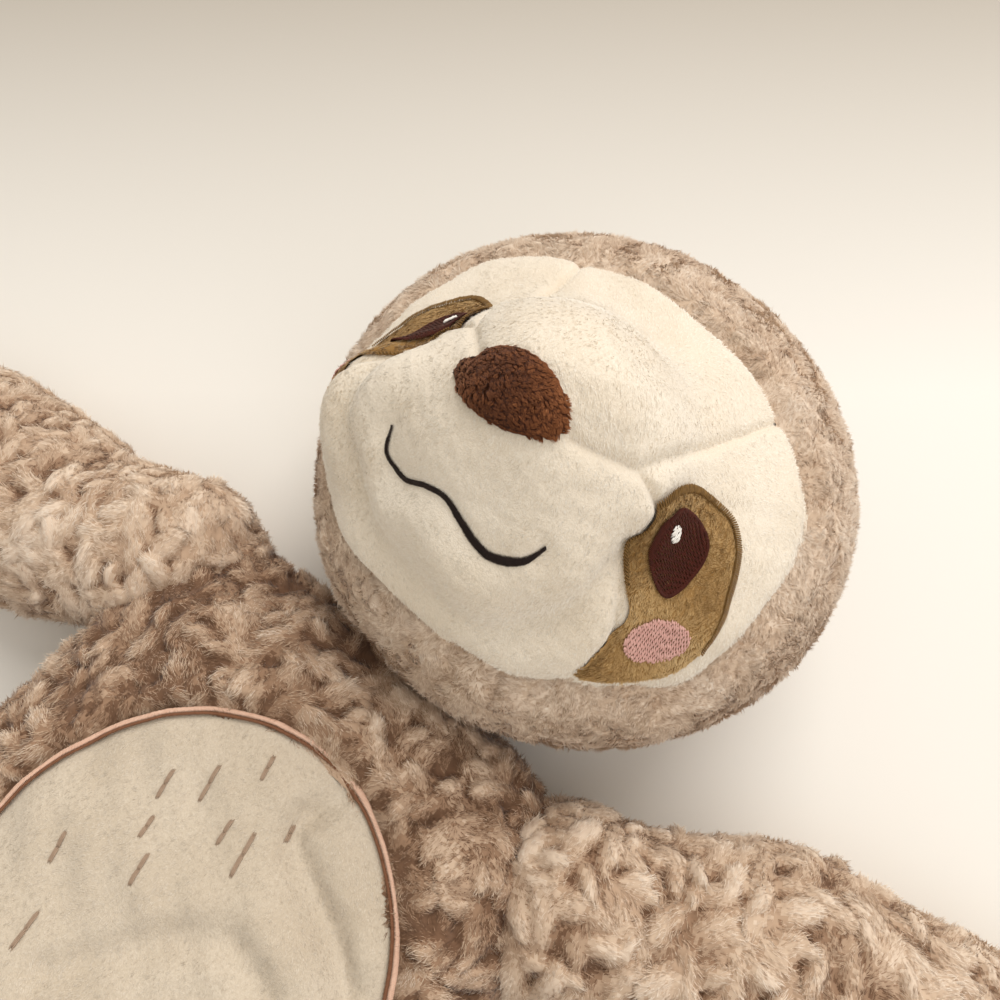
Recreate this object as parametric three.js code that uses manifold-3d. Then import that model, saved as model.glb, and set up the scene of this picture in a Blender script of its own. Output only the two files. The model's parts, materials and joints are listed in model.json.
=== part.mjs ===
// A stuffed toy sloth lying on its back, sewn from fur cloth and smooth plush round polyester fill.
// Millimetres and degrees. +Z points up from the table and out of the toy's front, +Y toward the
// top of the head, and +X toward the sloth's left hand.
import * as THREE from 'three';
import { mergeVertices } from 'three/addons/utils/BufferGeometryUtils.js';
import Module from 'manifold-3d';

const wasm = await Module();
wasm.setup();

// Cloth, seams and clearances
const clothThickness = 2;
const seamGap = 0.4;
const layerGap = 0.3;
const fillGap = 0.8;
const socketGap = 1;
const flatCut = 0.5;
const overrun = 300;
const weldShare = 0.0005;

// Head, measured from its centre
const headHalfWidth = 71;
const headCrownHeight = 68;
const headChinDepth = 69;
const headFrontDepth = 44.5;
const headBackDepth = 44;
const headLeanDegrees = -6.5;
const muzzleLength = 35;
const muzzleDropDegrees = -13.5;
const muzzleSideSpreadDegrees = 19.5;
const muzzleUpSpreadDegrees = 16;
const muzzleDownSpreadDegrees = 28;

// Face opening of the hood
const faceHalfWidth = 55.75;
const faceHalfHeight = 46.5;
const faceDrop = 12.5;
const faceExponent = 2.33;

// Sewn-on and embroidered pieces of the face
const noseHalfWidth = 12;
const noseHalfHeight = 6;
const noseDrop = 26.3;
const noseThickness = 2.6;
const noseExponent = 1.25;
const mouthHalfWidth = 20.3;
const mouthHeight = 7.4;
const mouthDrop = 39;
const stitchWidth = 2;
const stitchThickness = 0.8;
const patchLength = 45;
const patchSide = 40.5;
const patchDrop = 25;
const patchThickness = 0.9;
const pupilHalfLength = 7.8;
const pupilHalfWidth = 5.6;
const pupilSide = 36.4;
const pupilDrop = 17.2;
const pupilTiltDegrees = 37;
const pupilExponent = 1.7;
const highlightRadius = 2;
const highlightSide = 34;
const highlightDrop = 16;
const blushHalfLength = 7.3;
const blushHalfWidth = 3.6;
const blushSide = 45;
const blushDrop = 31;
const blushTiltDegrees = 47;

// Neck
const neckPivotDrop = 63;
const neckPivotHeight = 25;
const neckRadius = 14.5;
const threadThickness = 1.6;

// Body
const bodyTopDrop = 72;
const bodyLength = 166;
const bodyHalfWidth = 73;
const bodyHalfThickness = 27.5;
const bodyExponent = 2.3;
const bellyHalfWidth = 50;
const bellyHalfHeight = 52;
const bellyDrop = 148.5;
const bellyStitchWidth = 2.6;

// Arms
const armLength = 168;
const armHalfWidth = 26;
const armHalfThickness = 21.5;
const shoulderRadius = 20;
const shoulderSide = 71;
const shoulderDrop = 88;
const leftArmDegrees = -72;
const rightArmDegrees = 105;

// Legs
const legLength = 122;
const legHalfWidth = 29;
const legHalfThickness = 24;
const hipRadius = 21;
const hipSide = 38;
const hipBeyondBody = 3;
const legSplayDegrees = 12;

// The height of every shoulder and hip above the table
const limbPivotHeight = 25;

// Claws of the hands and feet
const clawLength = 26;
const clawHalfWidth = 4.6;
const clawHalfThickness = 4;
const clawPitch = 9.5;
const clawCurl = 5;
const clawBaseHalfWidth = 16;
const clawBaseHalfLength = 10;
const clawBaseHalfThickness = 8;
const clawRestShare = 0.5;

// Colours
const furTan = 0xc9b199;
const plushCream = 0xeee4d2;
const bellyCream = 0xe9e0d4;
const noseBrown = 0x4a2a1a;
const patchBrown = 0xa5824f;
const patchThread = 0x6f5230;
const eyeThread = 0x3a1210;
const mouthThread = 0x1e120e;
const highlightWhite = 0xf8f5f0;
const blushPink = 0xd69c98;
const bellyThread = 0xdcb9a6;
const fillWhite = 0xf2efe8;
const clawCream = 0xe6d9c4;

const radians = THREE.MathUtils.degToRad;

function material(color, roughness) {
  return new THREE.MeshStandardMaterial({ color, roughness, metalness: 0 });
}

const furCloth = material(furTan, 0.95);
const facePlush = material(plushCream, 0.9);
const bellyPlush = material(bellyCream, 0.9);
const fill = material(fillWhite, 1);
const clawPlush = material(clawCream, 0.9);

// Turns a closed geometry into a solid for cutting and joining
function solidOf(geometry) {
  const bare = geometry.index ? geometry.toNonIndexed() : geometry.clone();
  bare.deleteAttribute('normal');
  bare.deleteAttribute('uv');
  const merged = mergeVertices(bare, weldShare * clothThickness);
  const vertProperties = new Float32Array(merged.attributes.position.array);
  const triVerts = new Uint32Array(merged.index.array);
  return new wasm.Manifold(new wasm.Mesh({ numProp: 3, vertProperties, triVerts }));
}

// Turns a solid back into a named mesh
function pieceOf(name, solid, look) {
  const { vertProperties, triVerts, numProp } = solid.getMesh();
  const positions = [];
  for (let i = 0; i < vertProperties.length; i += numProp) {
    positions.push(vertProperties[i], vertProperties[i + 1], vertProperties[i + 2]);
  }
  const geometry = new THREE.BufferGeometry();
  geometry.setAttribute('position', new THREE.Float32BufferAttribute(positions, 3));
  geometry.setIndex([...triVerts]);
  const flat = geometry.toNonIndexed();
  flat.computeVertexNormals();
  const mesh = new THREE.Mesh(flat, look);
  mesh.name = name;
  return mesh;
}

// A ball with some number of facets from pole to pole, and nearly twice as many around
function ball(radius, centre, facets = 10) {
  const geometry = new THREE.SphereGeometry(radius, 2 * facets - 2, facets);
  geometry.translate(centre.x, centre.y, centre.z);
  return solidOf(geometry);
}

// A large block that keeps or removes everything on one side of a plane
function blockAbove(height) {
  const geometry = new THREE.BoxGeometry(2 * overrun, 2 * overrun, overrun);
  geometry.translate(0, 0, height + overrun / 2);
  return solidOf(geometry);
}

function blockBelow(height) {
  const geometry = new THREE.BoxGeometry(2 * overrun, 2 * overrun, overrun);
  geometry.translate(0, 0, height - overrun / 2);
  return solidOf(geometry);
}

// A prism that stands on the plane z = 0 over an outline of [x, y] points
function prism(outline) {
  const shape = new THREE.Shape(outline.map(([x, y]) => new THREE.Vector2(x, y)));
  return solidOf(new THREE.ExtrudeGeometry(shape, { depth: overrun, bevelEnabled: false }));
}

// The outline of a strip of even width that follows a line of [x, y] points
function strip(line, width) {
  const leftSide = [];
  const rightSide = [];
  line.forEach(([x, y], i) => {
    const before = line[Math.max(i - 1, 0)];
    const after = line[Math.min(i + 1, line.length - 1)];
    const along = new THREE.Vector2(after[0] - before[0], after[1] - before[1]).normalize();
    leftSide.push([x - along.y * width / 2, y + along.x * width / 2]);
    rightSide.unshift([x + along.y * width / 2, y - along.x * width / 2]);
  });
  return [...leftSide, ...rightSide];
}

// Bends a circle's cosine or sine into that of a superellipse: 2 is a circle, more is squarer
const rounded = (value, exponent) => Math.sign(value) * Math.abs(value) ** (2 / exponent);

// A superellipse of [x, y] points, turned about its own centre
const ovalSteps = 32;
const smallOvalSteps = 20;

function oval(halfWidth, halfHeight, x, y, { exponent = 2, degrees = 0, steps = ovalSteps } = {}) {
  const outline = [];
  for (let i = 0; i < steps; i++) {
    const angle = 2 * Math.PI * i / steps;
    const across = halfWidth * rounded(Math.cos(angle), exponent);
    const along = halfHeight * rounded(Math.sin(angle), exponent);
    const point = new THREE.Vector2(across, along).rotateAround(new THREE.Vector2(), radians(degrees));
    outline.push([x + point.x, y + point.y]);
  }
  return outline;
}

const mirrored = (points) => points.map(([x, y]) => [-x, y]);

// A closed form drawn through superellipse rings along +Y, with a point at each end
function ringForm(rings, sides, exponent) {
  const positions = [];
  const triangles = [];
  const middleRings = rings.slice(1, -1);
  for (const ring of middleRings) {
    for (let i = 0; i < sides; i++) {
      const angle = 2 * Math.PI * i / sides;
      const across = ring.halfWidth * rounded(Math.cos(angle), exponent);
      const height = ring.lift + ring.halfThickness * rounded(Math.sin(angle), exponent);
      positions.push(across, ring.along, height);
    }
  }
  const first = positions.length / 3;
  const start = rings[0];
  const end = rings[rings.length - 1];
  positions.push(0, start.along, start.lift, 0, end.along, end.lift);
  for (let j = 0; j < middleRings.length - 1; j++) {
    for (let i = 0; i < sides; i++) {
      const a = j * sides + i;
      const b = j * sides + (i + 1) % sides;
      triangles.push(a, a + sides, b, b, a + sides, b + sides);
    }
  }
  const last = (middleRings.length - 1) * sides;
  for (let i = 0; i < sides; i++) {
    const next = (i + 1) % sides;
    triangles.push(first, i, next, first + 1, last + next, last + i);
  }
  const geometry = new THREE.BufferGeometry();
  geometry.setAttribute('position', new THREE.Float32BufferAttribute(positions, 3));
  geometry.setIndex(triangles);
  return solidOf(geometry);
}

// Head. Its centre is this group's origin, and the table lies headCentreHeight below it.
const headCentreHeight = headBackDepth - flatCut;
const neckInHead = new THREE.Vector3(0, -neckPivotDrop, neckPivotHeight - headCentreHeight);

// How far the head's surface lies from its centre in one direction
function headReach(direction) {
  const halfHeight = direction.y > 0 ? headCrownHeight : headChinDepth;
  const halfDepth = direction.z > 0 ? headFrontDepth : headBackDepth;
  const stretched = [direction.x / headHalfWidth, direction.y / halfHeight, direction.z / halfDepth];
  const skull = 1 / Math.hypot(...stretched);
  const rise = Math.asin(THREE.MathUtils.clamp(direction.y, -1, 1));
  const sideways = Math.atan2(direction.x, direction.z) * Math.cos(rise);
  const above = rise - radians(muzzleDropDegrees);
  const upSpread = radians(above > 0 ? muzzleUpSpreadDegrees : muzzleDownSpreadDegrees);
  const falloff = (sideways / radians(muzzleSideSpreadDegrees)) ** 2 + (above / upSpread) ** 2;
  return skull + muzzleLength * Math.exp(-falloff / 2);
}

// The head's form, grown by some amount all round and cut flat where it lies on the table.
// Its facets crowd toward the front, where the muzzle curves most.
const frontCrowding = 0.4;

function headForm(growth) {
  const geometry = new THREE.SphereGeometry(1, 26, 17);
  const positions = geometry.attributes.position;
  const direction = new THREE.Vector3();
  const up = new THREE.Vector3(0, 1, 0);
  for (let i = 0; i < positions.count; i++) {
    direction.fromBufferAttribute(positions, i).normalize();
    const fromFront = Math.atan2(direction.x, direction.z);
    direction.applyAxisAngle(up, -frontCrowding * Math.sin(fromFront));
    direction.multiplyScalar(headReach(direction) + growth);
    positions.setXYZ(i, direction.x, direction.y, direction.z);
  }
  return solidOf(geometry).intersect(blockAbove(-headCentreHeight - Math.min(growth, 0)));
}

// A layer of cloth or thread over the head, between two heights above the cloth's face
function headLayer(low, high, outline) {
  return headForm(high).subtract(headForm(low)).intersect(prism(outline));
}

// Seams of the left half of the face, as shares of the face opening's half width and half height
const noseSeamShares = [[0, -0.3], [0.13, -0.29], [0.3, -0.2], [0.4, -0.07]];
const foreheadSeamShares = [[0.4, -0.07], [0.47, 0.27], [0.54, 0.6], [0.66, 1.1]];
const muzzleSeamShares = [[0.4, -0.07], [0.5, -0.075], [0.52, -0.2], [0.545, -0.3], [0.61, -0.41],
  [0.67, -0.5], [0.67, -0.75], [0.67, -1.1]];
const onFace = ([x, y]) => [x * faceHalfWidth, y * faceHalfHeight - faceDrop];
const noseSeam = noseSeamShares.map(onFace);
const foreheadSeam = foreheadSeamShares.map(onFace);
const muzzleSeam = muzzleSeamShares.map(onFace);

function buildFacePanels(skin) {
  const inset = seamGap / 2;
  const opening = oval(faceHalfWidth - inset, faceHalfHeight - inset, 0, -faceDrop,
    { exponent: faceExponent });
  let face = skin.intersect(prism(opening));
  for (const seam of [noseSeam, foreheadSeam, muzzleSeam]) {
    face = face.subtract(prism(strip(seam, seamGap)));
    face = face.subtract(prism(mirrored(strip(seam, seamGap)).reverse()));
  }
  const upperEdge = [...noseSeam, ...foreheadSeam.slice(1)];
  const lowerEdge = [...noseSeam, ...muzzleSeam.slice(1)];
  const foreheadOutline = [...mirrored(upperEdge).reverse(), ...upperEdge.slice(1)];
  const muzzleOutline = [...mirrored(lowerEdge).reverse(), ...lowerEdge.slice(1)];
  const cheekOutline = [...muzzleSeam].reverse();
  cheekOutline.push(...foreheadSeam.slice(1), [overrun, foreheadSeam[3][1]], [overrun, muzzleSeam[7][1]]);
  return [
    pieceOf('forehead_panel', face.intersect(prism(foreheadOutline)), facePlush),
    pieceOf('muzzle_panel', face.intersect(prism(muzzleOutline)), facePlush),
    pieceOf('left_cheek_panel', face.intersect(prism(cheekOutline)), facePlush),
    pieceOf('right_cheek_panel', face.intersect(prism(mirrored(cheekOutline))), facePlush),
  ];
}

function buildHood(skin) {
  const outset = seamGap / 2;
  const opening = oval(faceHalfWidth + outset, faceHalfHeight + outset, 0, -faceDrop,
    { exponent: faceExponent });
  const hood = skin.subtract(prism(opening));
  const halfSpace = (side) => {
    const geometry = new THREE.BoxGeometry(overrun, 2 * overrun, 2 * overrun);
    geometry.translate(side * (overrun / 2 + seamGap / 2), 0, 0);
    return solidOf(geometry);
  };
  return [
    pieceOf('hood_left', hood.intersect(halfSpace(1)), furCloth),
    pieceOf('hood_right', hood.intersect(halfSpace(-1)), furCloth),
  ];
}

// The nose: an oval drawn out to a point at each side, domed by its thickness
function buildNose() {
  const outline = [];
  for (let i = 0; i < smallOvalSteps; i++) {
    const angle = 2 * Math.PI * i / smallOvalSteps;
    const narrowing = Math.abs(Math.sin(angle)) ** noseExponent;
    const height = noseHalfHeight * Math.sign(Math.sin(angle)) * narrowing;
    outline.push([noseHalfWidth * Math.cos(angle), height - noseDrop]);
  }
  return pieceOf('nose', headLayer(layerGap, layerGap + noseThickness, outline), material(noseBrown, 0.8));
}

// The smile: two raised corners and a shallow dip, as shares of its half width and height
const mouthShares = [[-1, 0], [-0.9, -0.52], [-0.7, -0.9], [-0.45, -1], [-0.2, -0.9], [0, -0.84],
  [0.2, -0.9], [0.45, -1], [0.7, -0.9], [0.9, -0.52], [1, 0]];

function buildMouth() {
  const line = mouthShares.map(([x, y]) => [x * mouthHalfWidth, y * mouthHeight - mouthDrop]);
  const layer = headLayer(layerGap, layerGap + stitchThickness, strip(line, stitchWidth));
  return pieceOf('mouth_stitching', layer, material(mouthThread, 0.6));
}

// The left eye patch, as shares of its length from its own middle: outer edge down, inner edge up
const patchOuterShares = [[-0.25, 0.32], [-0.2, 0.42], [-0.1, 0.485], [0, 0.5], [0.1, 0.43], [0.18, 0.31],
  [0.24, 0.19], [0.275, 0.02], [0.265, -0.14], [0.19, -0.28], [0.05, -0.43], [-0.05, -0.49]];
const patchInnerShares = [[-0.05, -0.33], [-0.05, -0.16], [-0.16, -0.1], [-0.22, 0], [-0.255, 0.12],
  [-0.27, 0.22]];
const onPatch = ([x, y]) => [patchSide + x * patchLength, y * patchLength - patchDrop];

// One eye: side is 1 on the sloth's left and -1 on its right
function buildEye(side, word) {
  const placed = (points) => (side > 0 ? points : mirrored(points));
  const patchOutline = placed([...patchOuterShares, ...patchInnerShares].map(onPatch));
  const rimLine = [...patchInnerShares.slice(2), ...patchOuterShares.slice(0, 8)].map(onPatch);
  const rim = prism(placed(strip(rimLine, stitchWidth)));
  const patchTop = layerGap + patchThickness;
  const threadTop = patchTop + layerGap + stitchThickness;
  const pupil = oval(pupilHalfWidth, pupilHalfLength, side * pupilSide, -pupilDrop,
    { degrees: side * pupilTiltDegrees, exponent: pupilExponent, steps: smallOvalSteps });
  const highlight = oval(highlightRadius, highlightRadius, side * highlightSide, -highlightDrop,
    { steps: smallOvalSteps });
  const blush = oval(blushHalfLength, blushHalfWidth, side * blushSide, -blushDrop,
    { degrees: side * blushTiltDegrees, steps: smallOvalSteps });
  const patch = headLayer(layerGap, patchTop, patchOutline);
  const threads = headForm(threadTop).subtract(headForm(patchTop + layerGap));
  const whiteThread = headLayer(threadTop + layerGap, threadTop + layerGap + stitchThickness, highlight);
  return [
    pieceOf(`${word}_eye_patch`, patch, material(patchBrown, 0.85)),
    pieceOf(`${word}_patch_stitching`, threads.intersect(rim), material(patchThread, 0.6)),
    pieceOf(`${word}_eye`, threads.intersect(prism(pupil)), material(eyeThread, 0.5)),
    pieceOf(`${word}_eye_highlight`, whiteThread, material(highlightWhite, 0.5)),
    pieceOf(`${word}_blush`, threads.intersect(prism(blush)), material(blushPink, 0.6)),
  ];
}

function buildHead() {
  const head = new THREE.Group();
  const opening = ball(neckRadius + threadThickness + socketGap, neckInHead);
  const skin = headForm(0).subtract(headForm(-clothThickness)).subtract(opening);
  const stuffing = headForm(-clothThickness - fillGap).subtract(opening);
  head.add(...buildHood(skin), ...buildFacePanels(skin), buildNose(), buildMouth());
  head.add(...buildEye(1, 'left'), ...buildEye(-1, 'right'));
  head.add(pieceOf('head_stuffing', stuffing, fill));
  head.position.set(0, neckPivotDrop, -neckInHead.z);
  const lean = new THREE.Group();
  lean.add(head);
  lean.rotation.z = radians(headLeanDegrees);
  lean.position.set(0, -neckPivotDrop, neckPivotHeight);
  return lean;
}

// Neck: a wad of fill and the ring of thread that draws the head onto the body
function buildNeck() {
  const neck = new THREE.Group();
  const stuffing = ball(neckRadius, new THREE.Vector3(), 8);
  neck.add(pieceOf('neck_stuffing', stuffing, fill));
  const ringRadius = neckRadius + layerGap + threadThickness / 2;
  const ring = new THREE.TorusGeometry(ringRadius, threadThickness / 2, 5, 20);
  ring.rotateX(Math.PI / 2);
  neck.add(pieceOf('neck_thread', solidOf(ring), material(furTan, 0.7)));
  neck.position.set(0, -neckPivotDrop, neckPivotHeight);
  return neck;
}

// Body. Each row is a ring: its place along the body, and its width and thickness, as shares.
const bodyRingShares = [[0, 0, 0], [0.008, 0.5, 0.12], [0.024, 0.74, 0.24], [0.055, 0.88, 0.38],
  [0.1, 0.94, 0.54], [0.17, 0.93, 0.74], [0.27, 0.9, 0.9], [0.42, 0.92, 1], [0.6, 0.98, 1],
  [0.75, 1, 0.96], [0.86, 0.92, 0.85], [0.93, 0.76, 0.68], [0.975, 0.52, 0.44], [0.995, 0.24, 0.2], [1, 0, 0]];
const bodyMidHeight = bodyHalfThickness - flatCut;
const hipDrop = bodyTopDrop + bodyLength + hipBeyondBody;

function bodyForm(growth, sides = 20) {
  const halfLength = bodyLength / 2 + growth;
  const rings = bodyRingShares.map(([along, wide, thick]) => ({
    along: -bodyTopDrop - bodyLength / 2 - (2 * along - 1) * halfLength,
    halfWidth: wide * (bodyHalfWidth + growth),
    halfThickness: thick * (bodyHalfThickness + growth),
    lift: bodyMidHeight,
  })).reverse();
  return ringForm(rings, sides, bodyExponent).intersect(blockAbove(-Math.min(growth, 0)));
}

function buildBody() {
  const body = new THREE.Group();
  let sockets = ball(neckRadius + socketGap, new THREE.Vector3(0, -neckPivotDrop, neckPivotHeight));
  for (const side of [1, -1]) {
    const shoulder = new THREE.Vector3(side * shoulderSide, -shoulderDrop, limbPivotHeight);
    const hip = new THREE.Vector3(side * hipSide, -hipDrop, limbPivotHeight);
    sockets = sockets.add(ball(shoulderRadius + socketGap, shoulder));
    sockets = sockets.add(ball(hipRadius + socketGap, hip));
  }
  const bellyOutline = (growth) => oval(bellyHalfWidth + growth, bellyHalfHeight + growth, 0, -bellyDrop,
    { steps: smallOvalSteps });
  const skin = bodyForm(0).subtract(bodyForm(-clothThickness)).subtract(sockets);
  const front = skin.intersect(blockAbove(bodyMidHeight + seamGap / 2));
  const back = skin.intersect(blockBelow(bodyMidHeight - seamGap / 2));
  const bellyHole = prism(bellyOutline(seamGap / 2)).intersect(blockAbove(bodyMidHeight));
  const belly = front.intersect(prism(bellyOutline(-seamGap / 2)));
  const rim = prism(bellyOutline(bellyStitchWidth / 2)).subtract(prism(bellyOutline(-bellyStitchWidth / 2)));
  const threads = bodyForm(layerGap + stitchThickness).subtract(bodyForm(layerGap));
  const rimThread = threads.intersect(rim).intersect(blockAbove(bodyMidHeight));
  body.add(
    pieceOf('body_front_fur', front.subtract(bellyHole), furCloth),
    pieceOf('body_back_fur', back, furCloth),
    pieceOf('belly_panel', belly, bellyPlush),
    pieceOf('belly_edge_stitching', rimThread, material(bellyThread, 0.6)),
    pieceOf('body_stuffing', bodyForm(-clothThickness - fillGap, 16).subtract(sockets), fill),
  );
  return body;
}

// Limb rings beyond the round root: place along the rest of the limb, width and thickness, as shares
const armRingShares = [[0.1, 0.74, 0.87], [0.24, 0.86, 0.98], [0.42, 1, 1], [0.62, 0.97, 0.97],
  [0.78, 0.9, 0.93], [0.9, 0.8, 0.8], [0.97, 0.5, 0.5]];
const legRingShares = [[0.14, 0.78, 0.85], [0.32, 0.9, 0.96], [0.52, 0.95, 0.97], [0.7, 1, 1],
  [0.84, 0.94, 0.94], [0.93, 0.74, 0.72], [0.985, 0.4, 0.38]];

// Rings thicker than restingShare lie on the table, and the limb has sunk to it by settledShare
const restingShare = 0.9;
const settledShare = 0.5;

// A limb's form along +Y from its pivot at the origin, grown by some amount
function limbForm(limb, growth, sides) {
  const root = limb.rootRadius + growth;
  const beyond = limb.length - limb.rootRadius;
  const rings = [{ along: -root, halfWidth: 0, halfThickness: 0, lift: 0 }];
  for (const degrees of [30, 60, 90]) {
    const radius = root * Math.sin(radians(degrees));
    rings.push({ along: -root * Math.cos(radians(degrees)), halfWidth: radius, halfThickness: radius, lift: 0 });
  }
  let lift = 0;
  for (const [along, wide, thick] of limb.ringShares) {
    if (thick > restingShare) {
      const settled = Math.min(1, along / settledShare);
      lift = settled * (thick * limb.halfThickness - flatCut - limbPivotHeight);
    }
    rings.push({
      along: along * (beyond + growth),
      halfWidth: wide * (limb.halfWidth + growth),
      halfThickness: thick * (limb.halfThickness + growth),
      lift,
    });
  }
  rings.push({ along: beyond + growth, halfWidth: 0, halfThickness: 0, lift });
  return ringForm(rings, sides, 2).intersect(blockAbove(-limbPivotHeight - Math.min(growth, 0)));
}

// Three curved claws on one sewn base at the end of a limb
function buildClaws(limb, name) {
  const tip = limb.length - limb.rootRadius;
  const restHeight = limb.halfThickness * clawRestShare - limbPivotHeight + clawHalfThickness;
  const baseGeometry = new THREE.SphereGeometry(1, 8, 5);
  baseGeometry.scale(clawBaseHalfWidth, clawBaseHalfLength, clawBaseHalfThickness);
  baseGeometry.translate(0, tip - clawBaseHalfLength / 2, restHeight);
  let claws = solidOf(baseGeometry);
  const clawRingShares = [[0, 0], [0.05, 0.85], [0.5, 0.95], [0.9, 0.45], [1, 0]];
  for (const place of [-1, 0, 1]) {
    const rings = clawRingShares.map(([along, thick]) => ({
      along: along * clawLength,
      halfWidth: thick * clawHalfWidth,
      halfThickness: thick * clawHalfThickness,
      lift: clawCurl * along ** 2,
    }));
    const claw = ringForm(rings, 6, 2).translate([place * clawPitch, tip - clawBaseHalfLength / 2, restHeight]);
    claws = claws.add(claw);
  }
  return pieceOf(name, claws.subtract(limbForm(limb, layerGap, 14)), clawPlush);
}

// The wad of fill at a limb's root, as a share of the room inside the cloth
const wadShare = 0.92;

// One limb: fur cloth front and back, fill, the wad of fill at its root and the claws at its end
function buildLimb(limb) {
  const group = new THREE.Group();
  const midHeight = limb.halfThickness - flatCut - limbPivotHeight;
  const skin = limbForm(limb, 0, 14).subtract(limbForm(limb, -clothThickness, 10));
  const wadRadius = wadShare * (limb.rootRadius - clothThickness);
  const wad = ball(wadRadius, new THREE.Vector3(), 7);
  const wadRoom = ball(wadRadius + socketGap, new THREE.Vector3(), 7);
  const stuffing = limbForm(limb, -clothThickness - fillGap, 10).subtract(wadRoom);
  const keep = new THREE.BoxGeometry(2 * overrun, overrun, 2 * overrun);
  keep.translate(0, overrun / 2, 0);
  group.add(
    pieceOf(`${limb.name}_front_fur`, skin.intersect(blockAbove(midHeight + seamGap / 2)), furCloth),
    pieceOf(`${limb.name}_back_fur`, skin.intersect(blockBelow(midHeight - seamGap / 2)), furCloth),
    pieceOf(`${limb.name}_stuffing`, stuffing.intersect(solidOf(keep)), fill),
    pieceOf(limb.rootName, wad, fill),
    buildClaws(limb, limb.clawsName),
  );
  group.position.set(limb.x, -limb.drop, limbPivotHeight);
  group.rotation.z = radians(limb.degrees);
  return group;
}

const armSizes = {
  length: armLength, halfWidth: armHalfWidth, halfThickness: armHalfThickness,
  rootRadius: shoulderRadius, ringShares: armRingShares, drop: shoulderDrop,
};
const legSizes = {
  length: legLength, halfWidth: legHalfWidth, halfThickness: legHalfThickness,
  rootRadius: hipRadius, ringShares: legRingShares, drop: hipDrop,
};
const halfTurnDegrees = 180;
const limbs = [
  { ...armSizes, name: 'left_arm', x: shoulderSide, degrees: leftArmDegrees },
  { ...armSizes, name: 'right_arm', x: -shoulderSide, degrees: rightArmDegrees },
  { ...legSizes, name: 'left_leg', x: hipSide, degrees: halfTurnDegrees + legSplayDegrees },
  { ...legSizes, name: 'right_leg', x: -hipSide, degrees: halfTurnDegrees - legSplayDegrees },
];

const toy = new THREE.Group();
toy.add(buildHead(), buildNeck(), buildBody());
for (const limb of limbs) {
  limb.rootName = limb.name.replace('arm', 'shoulder_stuffing').replace('leg', 'hip_stuffing');
  limb.clawsName = limb.name.replace('arm', 'hand_claws').replace('leg', 'foot_claws');
  toy.add(buildLimb(limb));
}

// The origin lies on the table under the middle of the whole toy
const extent = new THREE.Box3().setFromObject(toy, true);
const middle = extent.getCenter(new THREE.Vector3());
toy.position.set(-middle.x, -middle.y, 0);

const group = new THREE.Group();
group.add(toy);

export default group;
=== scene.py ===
# A stuffed toy sloth lying on its back: curly tan fur cloth, a smooth cream face with sewn and
# embroidered features, an oval belly panel, and soft arms and legs that end in cloth claws.
import json
import math
import bpy
import numpy as np
from mathutils import Matrix, Vector, kdtree
from numpy.random import default_rng


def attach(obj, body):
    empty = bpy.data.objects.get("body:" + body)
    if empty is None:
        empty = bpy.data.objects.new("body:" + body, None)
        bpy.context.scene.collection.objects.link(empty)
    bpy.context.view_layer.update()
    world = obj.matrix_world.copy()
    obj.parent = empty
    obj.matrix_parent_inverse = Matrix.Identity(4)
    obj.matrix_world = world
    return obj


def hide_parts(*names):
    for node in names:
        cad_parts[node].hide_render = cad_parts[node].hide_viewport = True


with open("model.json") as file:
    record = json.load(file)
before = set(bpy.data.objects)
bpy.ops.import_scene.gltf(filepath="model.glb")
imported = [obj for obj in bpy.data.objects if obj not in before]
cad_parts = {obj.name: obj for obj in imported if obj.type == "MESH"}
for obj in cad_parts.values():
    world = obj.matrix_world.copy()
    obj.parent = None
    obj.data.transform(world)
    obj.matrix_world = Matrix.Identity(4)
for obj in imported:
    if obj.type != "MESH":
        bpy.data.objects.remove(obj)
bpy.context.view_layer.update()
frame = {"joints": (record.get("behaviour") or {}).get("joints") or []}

MM = 0.001
joints = {joint["name"]: joint for joint in frame["joints"]}

# Where the head lies, from its joint: the pivot in the neck, and the head's own up direction.
# Head places below are in millimetres from its centre, x to the sloth's left, y to the crown, z outward.
neck_pivot = np.array(joints["neck_turn"]["pos_m"]) / MM
head_up = np.array(joints["neck_turn"]["axis"])
head_left = np.cross(head_up, (0, 0, 1))
head_axes = np.array([head_left, head_up, (0, 0, 1)])
HEAD_ABOVE_NECK = 63.0
HEAD_BACK_DEPTH = 43.5
head_centre = neck_pivot + head_up * HEAD_ABOVE_NECK
head_centre[2] = HEAD_BACK_DEPTH


def head_to_world(points):
    """Turns head places into places in the toy's frame, in millimetres."""
    return np.asarray(points, float) @ head_axes + head_centre


# Camera: close above the sloth's left side, looking back over the belly at the face. Its place and the
# point that it aims at are head places.
CAMERA_PLACE = (44.3, -72.8, 191.1)
CAMERA_AIM = (-10.6, -20.9, -2.6)
CAMERA_ROLL_DEGREES = -0.9
CAMERA_LENS = 27.04
place = Vector(head_to_world(CAMERA_PLACE) * MM)
aim = Vector(head_to_world(CAMERA_AIM) * MM)
camera = bpy.data.objects.new("camera", bpy.data.cameras.new("camera"))
camera.data.lens = CAMERA_LENS
camera.data.clip_start = 0.01
facing = (aim - place).to_track_quat("-Z", "Y").to_matrix().to_4x4()
roll = Matrix.Rotation(math.radians(CAMERA_ROLL_DEGREES), 4, "Z")
camera.matrix_world = Matrix.Translation(place) @ facing @ roll
bpy.context.collection.objects.link(camera)
scene = bpy.context.scene
scene.camera = camera
scene.view_settings.view_transform = "Standard"


# Table: a pale cream sheet of paper, matte, that the toy lies on. It is nearly white round the toy, and
# farther off, beyond the crown on the sloth's right, painted shade darkens it to a duller cream.
TABLE = {"size": 6.0, "near": "#ebe8e1", "far": "#b5aea3", "shade_way": (-0.627, 0.78, 0),
         "shade_from": 0.16, "shade_to": 0.37}


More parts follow.
